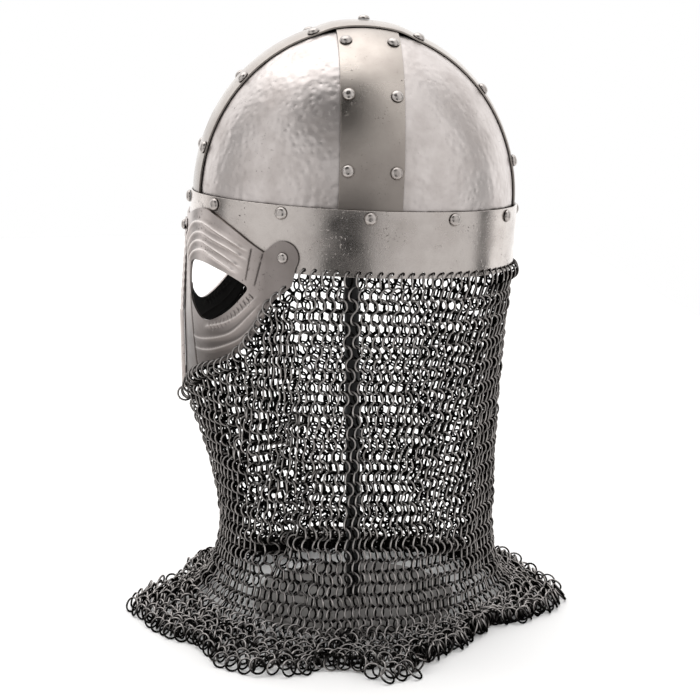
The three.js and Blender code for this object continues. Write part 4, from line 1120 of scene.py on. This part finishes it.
class HELMET_OT_mail(bpy.types.Operator):
    """The mail: rings of wire, each linked through four others, hung from the band and the visor"""
    bl_idname = "helmet.mail"
    bl_label = "Mail"

    def execute(self, context):
        sizes, colours = context.scene.helmet_sizes, context.scene.helmet_colours
        wire = self.oiled_wire(colours)
        rings = [np.concatenate(pair) for pair in zip(self.lattice(sizes), self.hangers(sizes))]
        centres, down, across, outward = rings
        turns = np.degrees(np.arctan2(centres[:, 0], -centres[:, 1])) % 360
        sectors = 5
        part = np.minimum((turns / 360 * sectors).astype(int), sectors - 1)
        for sector in range(sectors):
            chosen = part == sector
            points, quads, painted_highlight = ring_mesh(*(values[chosen] for values in rings),
                                              sizes.ring_radius, sizes.wire_radius)
            piece = add_mesh(f"mail_rings_{sector + 1}", points, [quads], [wire], sharp=0)
            mark_points(piece, "painted_sheen", painted_highlight)
            settle(piece, "mail_wire", "mail_curtain", helmet=False)
        return {"FINISHED"}

    @staticmethod
    def lattice(sizes):
        columns = column_turns()
        count = len(columns)
        index = np.arange(-1, count + 1)
        wrapped = np.concatenate([[columns[-1] - 360], columns, [columns[0] + 360]])

        def at(column, row):
            rim_turn = np.interp((column + 1) % count - 1, index, wrapped)
            even_turn = ((column + 1) % count - 0.5) * 360 / count
            waist_turn = even_turn + SIDE_GATHER * np.sin(np.radians(2 * even_turn))
            return mail_point(rim_turn, waist_turn, row, sizes)

        rows = sizes.tube_rows + sizes.skirt_rows
        row, column = np.meshgrid(np.arange(rows), np.arange(count), indexing="ij")
        row = row.ravel().astype(float)
        column = column.ravel() + (row % 2) / 2
        middle = row + 0.5
        centres, top = at(column, middle)
        below_edge = np.where((column > VISOR_COLUMNS - 1) & (column < count - VISOR_COLUMNS), 6 * MM,
                              1.1 * sizes.ring_radius)
        keep = centres[:, 2] + below_edge < top
        row, column, middle, centres = row[keep], column[keep], middle[keep], centres[keep]
        step = 0.5
        left, right = at(column - step, middle)[0], at(column + step, middle)[0]
        above, below = at(column, middle - step)[0], at(column, middle + step)[0]
        side = right - left
        fall = below - above
        column_pitch = np.linalg.norm(side, axis=1)
        row_pitch = np.linalg.norm(fall, axis=1)
        across = unit(side)
        down = unit(fall - (fall * across).sum(1, keepdims=True) * across)
        outward = np.cross(down, across)
        outward *= np.sign((outward * (centres * [1, 1, 0] + [0, 0, 0.02])).sum(1, keepdims=True))
        rng = np.random.default_rng(11)
        lying = np.clip((row - sizes.tube_rows - UPRIGHT_SKIRT_ROWS + 2) / 4, 0, 1)
        loose = 1 + 2.5 * lying

        def turned_by(vector, other, angle):
            return np.cos(angle)[:, None] * vector + np.sin(angle)[:, None] * other

        # Where rows are pushed together, the rings stand up like shingles
        shingle = np.arccos(np.clip(row_pitch / (8.0 * MM), 0.5, 1)) + rng.normal(0, 0.05, len(row)) * loose
        tilted_down = turned_by(down, -outward, shingle)
        tilted_out = turned_by(outward, down, shingle)
        lean = np.radians(np.interp(column_pitch / MM, [4.5, 7.5, 9.5], [55, 27, 18]))
        lean = np.where(row % 2 == 0, lean, -lean) + rng.normal(0, 0.06, len(row)) * loose
        leaning = turned_by(across, tilted_out, lean)
        centres = centres + outward * (rng.normal(0, 0.3 * MM, len(row)) * loose)[:, None]
        lowest = sizes.ring_radius * np.hypot(tilted_down[:, 2], leaning[:, 2]) + sizes.wire_radius
        centres[:, 2] = np.maximum(centres[:, 2], lowest)
        return centres, tilted_down, leaning, outward

    @staticmethod
    def hangers(sizes):
        """The rings through the holes in the band and the visor."""
        holes, outward = hole_places()
        down = np.tile([0.0, 0.0, -1.0], (len(holes), 1))
        rng = np.random.default_rng(12)
        swing = rng.normal(0.6, 0.15, len(holes))[:, None]
        side = np.cross(down, outward)
        across = np.cos(swing) * outward + np.sin(swing) * side
        centres = holes + down * (sizes.ring_radius - 0.3 * MM)
        # One spare ring stands out from the chin, flat against the nose line
        spare = [np.array([CHIN_RING]), down[:1], np.array([[0.0, -1.0, 0.0]]), np.array([[0.6, -0.8, 0.0]])]
        return [np.concatenate(pair) for pair in zip((centres, down, across, outward), spare)]

    @staticmethod
    def oiled_wire(colours):
        """Drawn steel wire, oiled, with a painted grey highlight on the faces that point out of the mail.
        Elsewhere the wire is painted near black as shade, which gives the mail its depth."""
        material, tree, shader, place = new_material("blacked_steel_wire")
        sheen_share = add_node(tree, "ShaderNodeAttribute", attribute_name="painted_sheen").outputs["Fac"]
        film = add_node(tree, "ShaderNodeTexNoise", {"Scale": 1 / (6 * MM), "Detail": 3}, {"Vector": place})
        patchy = add_node(tree, "ShaderNodeMapRange", {"From Min": 0.3, "From Max": 0.65, "To Min": 1.0,
                                                       "To Max": 0.6}, {"Value": film.outputs["Fac"]})
        patchy_sheen = add_node(tree, "ShaderNodeMath", links={0: sheen_share, 1: patchy.outputs[0]}, operation="MULTIPLY")
        # Painted shade near black where the sheen share is low, painted grey highlight where it is high
        shade = add_node(tree, "ShaderNodeMix", {MIX_A: linear("#161514"), MIX_B: colours.wire},
                         {MIX_FACTOR: patchy_sheen.outputs[0]}, data_type="RGBA")
        tree.links.new(shade.outputs[MIX_RESULT], shader.inputs["Base Color"])
        shader.inputs["Metallic"].default_value = 1.0
        shader.inputs["Specular Tint"].default_value = linear("#4a4644")
        rough = add_node(tree, "ShaderNodeMapRange", {"From Min": 0.3, "From Max": 0.7, "To Min": 0.32,
                                                      "To Max": 0.48}, {"Value": film.outputs["Fac"]})
        tree.links.new(rough.outputs[0], shader.inputs["Roughness"])
        return material


class HELMET_OT_stand(bpy.types.Operator):
    """The stand's black post and its round foot"""
    bl_idname = "helmet.stand"
    bl_label = "Stand"

    def execute(self, context):
        colours = context.scene.helmet_colours
        self.post(colours)
        self.foot(colours)
        return {"FINISHED"}

    @staticmethod
    def post(colours):
        # Steel tube in black stoved enamel: a soft low gloss with a fine peel
        material, tree, shader, place = new_material("black_stoved_enamel")
        shader.inputs["Base Color"].default_value = colours.post
        shader.inputs["Roughness"].default_value = 0.5
        peel = add_node(tree, "ShaderNodeTexNoise", {"Scale": 1 / (1.2 * MM), "Detail": 2}, {"Vector": place})
        bump = add_node(tree, "ShaderNodeBump", {"Strength": 0.3, "Distance": 0.1 * MM},
                        {"Height": peel.outputs["Fac"]})
        tree.links.new(bump.outputs[0], shader.inputs["Normal"])
        low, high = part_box("stand_post")
        radius, head, height = 5.2 * MM, 17 * MM, 12 * MM
        neck = high[2] - height
        arch = [(radius, neck), (0.75 * head, neck + 0.2 * height), (0.93 * head, neck + 0.33 * height),
                (head, neck + 0.5 * height), (0.98 * head, neck + 0.68 * height),
                (0.84 * head, neck + 0.84 * height), (0.55 * head, neck + 0.95 * height)]
        profile = [(0, low[2]), (radius, low[2])] + arch + [(0, high[2])]
        points, faces = turned(profile, 48)
        piece = add_mesh("enamelled_post", points, faces, [material])
        settle(piece, "stand_black", "stand_post", helmet=False)

    @staticmethod
    def foot(colours):
        # Turned foot in grey satin paint: even and dull
        material, tree, shader, place = new_material("grey_satin_paint")
        shader.inputs["Base Color"].default_value = colours.foot
        grain = add_node(tree, "ShaderNodeTexNoise", {"Scale": 1 / (1.5 * MM), "Detail": 3},
                         {"Vector": place})
        rough = add_node(tree, "ShaderNodeMapRange", {"To Min": 0.45, "To Max": 0.65},
                         {"Value": grain.outputs["Fac"]})
        tree.links.new(rough.outputs[0], shader.inputs["Roughness"])
        low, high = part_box("stand_base")
        radius, thick = high[0], high[2]
        profile = [(0, 0), (radius - 0.5 * MM, 0), (radius, 0.5 * MM), (radius, thick - MM),
                   (radius - 0.3 * MM, thick - 0.3 * MM), (radius - MM, thick), (0, thick)]
        points, faces = turned(profile, 96)
        piece = add_mesh("painted_foot", points, faces, [material])
        settle(piece, "stand_pale", "stand_base", helmet=False)


class HELMET_OT_studio(bpy.types.Operator):
    """White paper floor, soft lights and the camera"""
    bl_idname = "helmet.studio"
    bl_label = "Studio"

    def execute(self, context):
        settings = context.scene.helmet_studio
        self.floor(context.scene.helmet_colours)
        self.world(context.scene)
        self.lights(settings)
        self.camera(context.scene, settings)
        context.scene.view_settings.view_transform = "Standard"
        return {"FINISHED"}

    @staticmethod
    def floor(colours):
        # Seamless paper: matt, white and very slightly toothed
        material, tree, shader, place = new_material("seamless_white_paper")
        shader.inputs["Base Color"].default_value = colours.paper
        shader.inputs["Roughness"].default_value = 0.9
        shader.inputs["Emission Color"].default_value = (1, 1, 1, 1)
        shader.inputs["Emission Strength"].default_value = 0.05
        tooth = add_node(tree, "ShaderNodeTexNoise", {"Scale": 1 / (0.8 * MM), "Detail": 2},
                         {"Vector": place})
        bump = add_node(tree, "ShaderNodeBump", {"Strength": 0.1, "Distance": 0.1 * MM},
                        {"Height": tooth.outputs["Fac"]})
        tree.links.new(bump.outputs[0], shader.inputs["Normal"])
        back, front, side = -2.0, 0.5, 0.6
        corners = np.array([(back, -side, 0), (front, -side, 0), (front, side, 0), (back, side, 0)])
        piece = add_mesh("paper_floor", corners, [np.array([[0, 1, 2, 3]])], [material], sharp=0)

    @staticmethod
    def world(scene):
        """A white room seen by the steel: an over-bright background behind the helmet, a dark gap on each
        side of it, a paler front with a low dark screen and a dark patch above it, and a bright ceiling."""
        world = bpy.data.worlds.new("studio_room")
        scene.world = world
        world.use_nodes = True
        tree = world.node_tree
        tree.nodes.clear()
        heading = add_node(tree, "ShaderNodeTexCoord").outputs["Generated"]
        level = add_node(tree, "ShaderNodeVectorMath", {1: (1, 1, 0)}, {0: heading}, operation="MULTIPLY")
        flat = add_node(tree, "ShaderNodeVectorMath", links={0: level.outputs[0]}, operation="NORMALIZE")
        toward = add_node(tree, "ShaderNodeVectorMath", {1: (0.994, -0.11, 0)}, {0: flat.outputs[0]},
                          operation="DOT_PRODUCT")
        share = add_node(tree, "ShaderNodeMapRange", {"From Min": -1.0, "From Max": 1.0},
                         {"Value": toward.outputs["Value"]})
        room = add_node(tree, "ShaderNodeValToRGB", links={"Fac": share.outputs[0]})
        stops = [(0.0, 1.0), (0.365, 1.0), (0.39, 0.03), (0.465, 0.03), (0.53, 0.66), (0.9, 0.62),
                 (1.0, 0.55)]
        ramp = room.color_ramp
        while len(ramp.elements) < len(stops):
            ramp.elements.new(0.5)
        for element, (position, value) in zip(ramp.elements, stops):
            element.position = position
            element.color = (value, value, value, 1)
        height = add_node(tree, "ShaderNodeSeparateXYZ", links={0: heading})
        screen_wide = add_node(tree, "ShaderNodeMapRange", {"From Min": 0.95, "From Max": 0.98},
                               {"Value": toward.outputs["Value"]})
        screen_low = add_node(tree, "ShaderNodeMapRange", {"From Min": 0.05, "From Max": -0.05},
                              {"Value": height.outputs["Z"]})
        screen = add_node(tree, "ShaderNodeMath", links={0: screen_wide.outputs[0], 1: screen_low.outputs[0]},
                          operation="MULTIPLY")
        raised = add_node(tree, "ShaderNodeVectorMath", {1: (0.56, -0.24, 0.79)}, {0: heading},
                          operation="DOT_PRODUCT")
        patch = add_node(tree, "ShaderNodeMapRange", {"From Min": 0.85, "From Max": 0.95},
                         {"Value": raised.outputs["Value"]})
        dark = add_node(tree, "ShaderNodeMath", links={0: screen.outputs[0], 1: patch.outputs[0]},
                        operation="MAXIMUM")
        ceiling = add_node(tree, "ShaderNodeMapRange", {"From Min": 0.64, "From Max": 0.98},
                           {"Value": height.outputs["Z"]})
        lit = add_node(tree, "ShaderNodeMix", {MIX_B: (1.15, 1.15, 1.15, 1)},
                       {MIX_FACTOR: ceiling.outputs[0], MIX_A: room.outputs["Color"]}, data_type="RGBA")
        shaded = add_node(tree, "ShaderNodeMix", {MIX_B: (0.01, 0.01, 0.01, 1)},
                          {MIX_FACTOR: dark.outputs[0], MIX_A: lit.outputs[MIX_RESULT]}, data_type="RGBA")
        seen = add_node(tree, "ShaderNodeLightPath").outputs["Is Camera Ray"]
        strength = add_node(tree, "ShaderNodeMapRange", {"To Min": 1.5, "To Max": 1.0}, {"Value": seen})
        shown = add_node(tree, "ShaderNodeMix", {MIX_B: (1.0, 1.0, 1.0, 1)},
                         {MIX_FACTOR: seen, MIX_A: shaded.outputs[MIX_RESULT]}, data_type="RGBA")
        background = add_node(tree, "ShaderNodeBackground",
                              links={"Color": shown.outputs[MIX_RESULT], "Strength": strength.outputs[0]})
        add_node(tree, "ShaderNodeOutputWorld", links={"Surface": background.outputs[0]})

    @staticmethod
    def lights(settings):
        # A wide ceiling light from above and a little behind, and a very large weak one on each side
        rows = [
            ("ceiling_light", "SUN", settings.overhead, math.radians(60), (-0.5, -0.35, 2.0)),
            ("left_wall_light", "AREA", settings.fill, 2.4, (1.6, -2.2, 1.3)),
            ("right_wall_light", "AREA", settings.fill, 2.4, (1.6, 2.2, 1.3)),
        ]
        for name, kind, power, size, place in rows:
            light = bpy.data.lights.new(name, kind)
            light.energy = power
            if kind == "SUN":
                light.angle = size
            else:
                light.size = size
            lamp = bpy.data.objects.new(name, light)
            lamp.location = place
            lamp.rotation_euler = (Vector((0, 0, 0.2)) - Vector(place)).to_track_quat("-Z", "Y").to_euler()
            bpy.context.scene.collection.objects.link(lamp)

    @staticmethod
    def camera(scene, settings):
        turn = settings.azimuth + settings.yaw
        level = Vector((-math.sin(turn), math.cos(turn), 0))
        forward = level * math.cos(settings.pitch) - Vector((0, 0, math.sin(settings.pitch)))
        right = forward.cross(Vector((0, 0, 1))).normalized()
        up = right.cross(forward)
        cos, sin = math.cos(settings.roll), math.sin(settings.roll)
        right, up = right * cos + up * sin, up * cos - right * sin
        lens = bpy.data.cameras.new("photo_camera")
        lens.sensor_width = 36
        lens.lens = settings.lens
        camera = bpy.data.objects.new("photo_camera", lens)
        turned_to = Matrix((right, up, -forward)).transposed().to_4x4()
        place = Vector((settings.distance * math.sin(settings.azimuth),
                        -settings.distance * math.cos(settings.azimuth), settings.height))
        camera.matrix_world = Matrix.Translation(place) @ turned_to
        scene.collection.objects.link(camera)
        scene.camera = camera


class HELMET_PT_build(bpy.types.Panel):
    """Buttons, sizes and colours of the helmet"""
    bl_label = "Helmet"
    bl_idname = "HELMET_PT_build"
    bl_space_type = "VIEW_3D"
    bl_region_type = "UI"
    bl_category = "Helmet"

    def draw(self, context):
        for operator in OPERATORS:
            self.layout.operator(operator.bl_idname)
        for group in (context.scene.helmet_sizes, context.scene.helmet_colours, context.scene.helmet_studio):
            box = self.layout.box()
            for name in group.bl_rna.properties.keys():
                if name not in ("rna_type", "name"):
                    box.prop(group, name)


OPERATORS = (
    HELMET_OT_bowl_plates, HELMET_OT_straps, HELMET_OT_brow_band, HELMET_OT_visor, HELMET_OT_rivets,
    HELMET_OT_mail, HELMET_OT_stand, HELMET_OT_studio,
)
GROUPS = (HelmetSizes, HelmetColours, StudioSettings)


def register():
    for kind in GROUPS + OPERATORS + (HELMET_PT_build,):
        bpy.utils.register_class(kind)
    bpy.types.Scene.helmet_sizes = PointerProperty(type=HelmetSizes)
    bpy.types.Scene.helmet_colours = PointerProperty(type=HelmetColours)
    bpy.types.Scene.helmet_studio = PointerProperty(type=StudioSettings)


def unregister():
    del bpy.types.Scene.helmet_sizes, bpy.types.Scene.helmet_colours, bpy.types.Scene.helmet_studio
    for kind in reversed(GROUPS + OPERATORS + (HELMET_PT_build,)):
        bpy.utils.unregister_class(kind)


def main():
    register()
    for operator in OPERATORS:
        name = operator.bl_idname.split(".")[1]
        getattr(bpy.ops.helmet, name)()


if __name__ == "__main__":
    main()
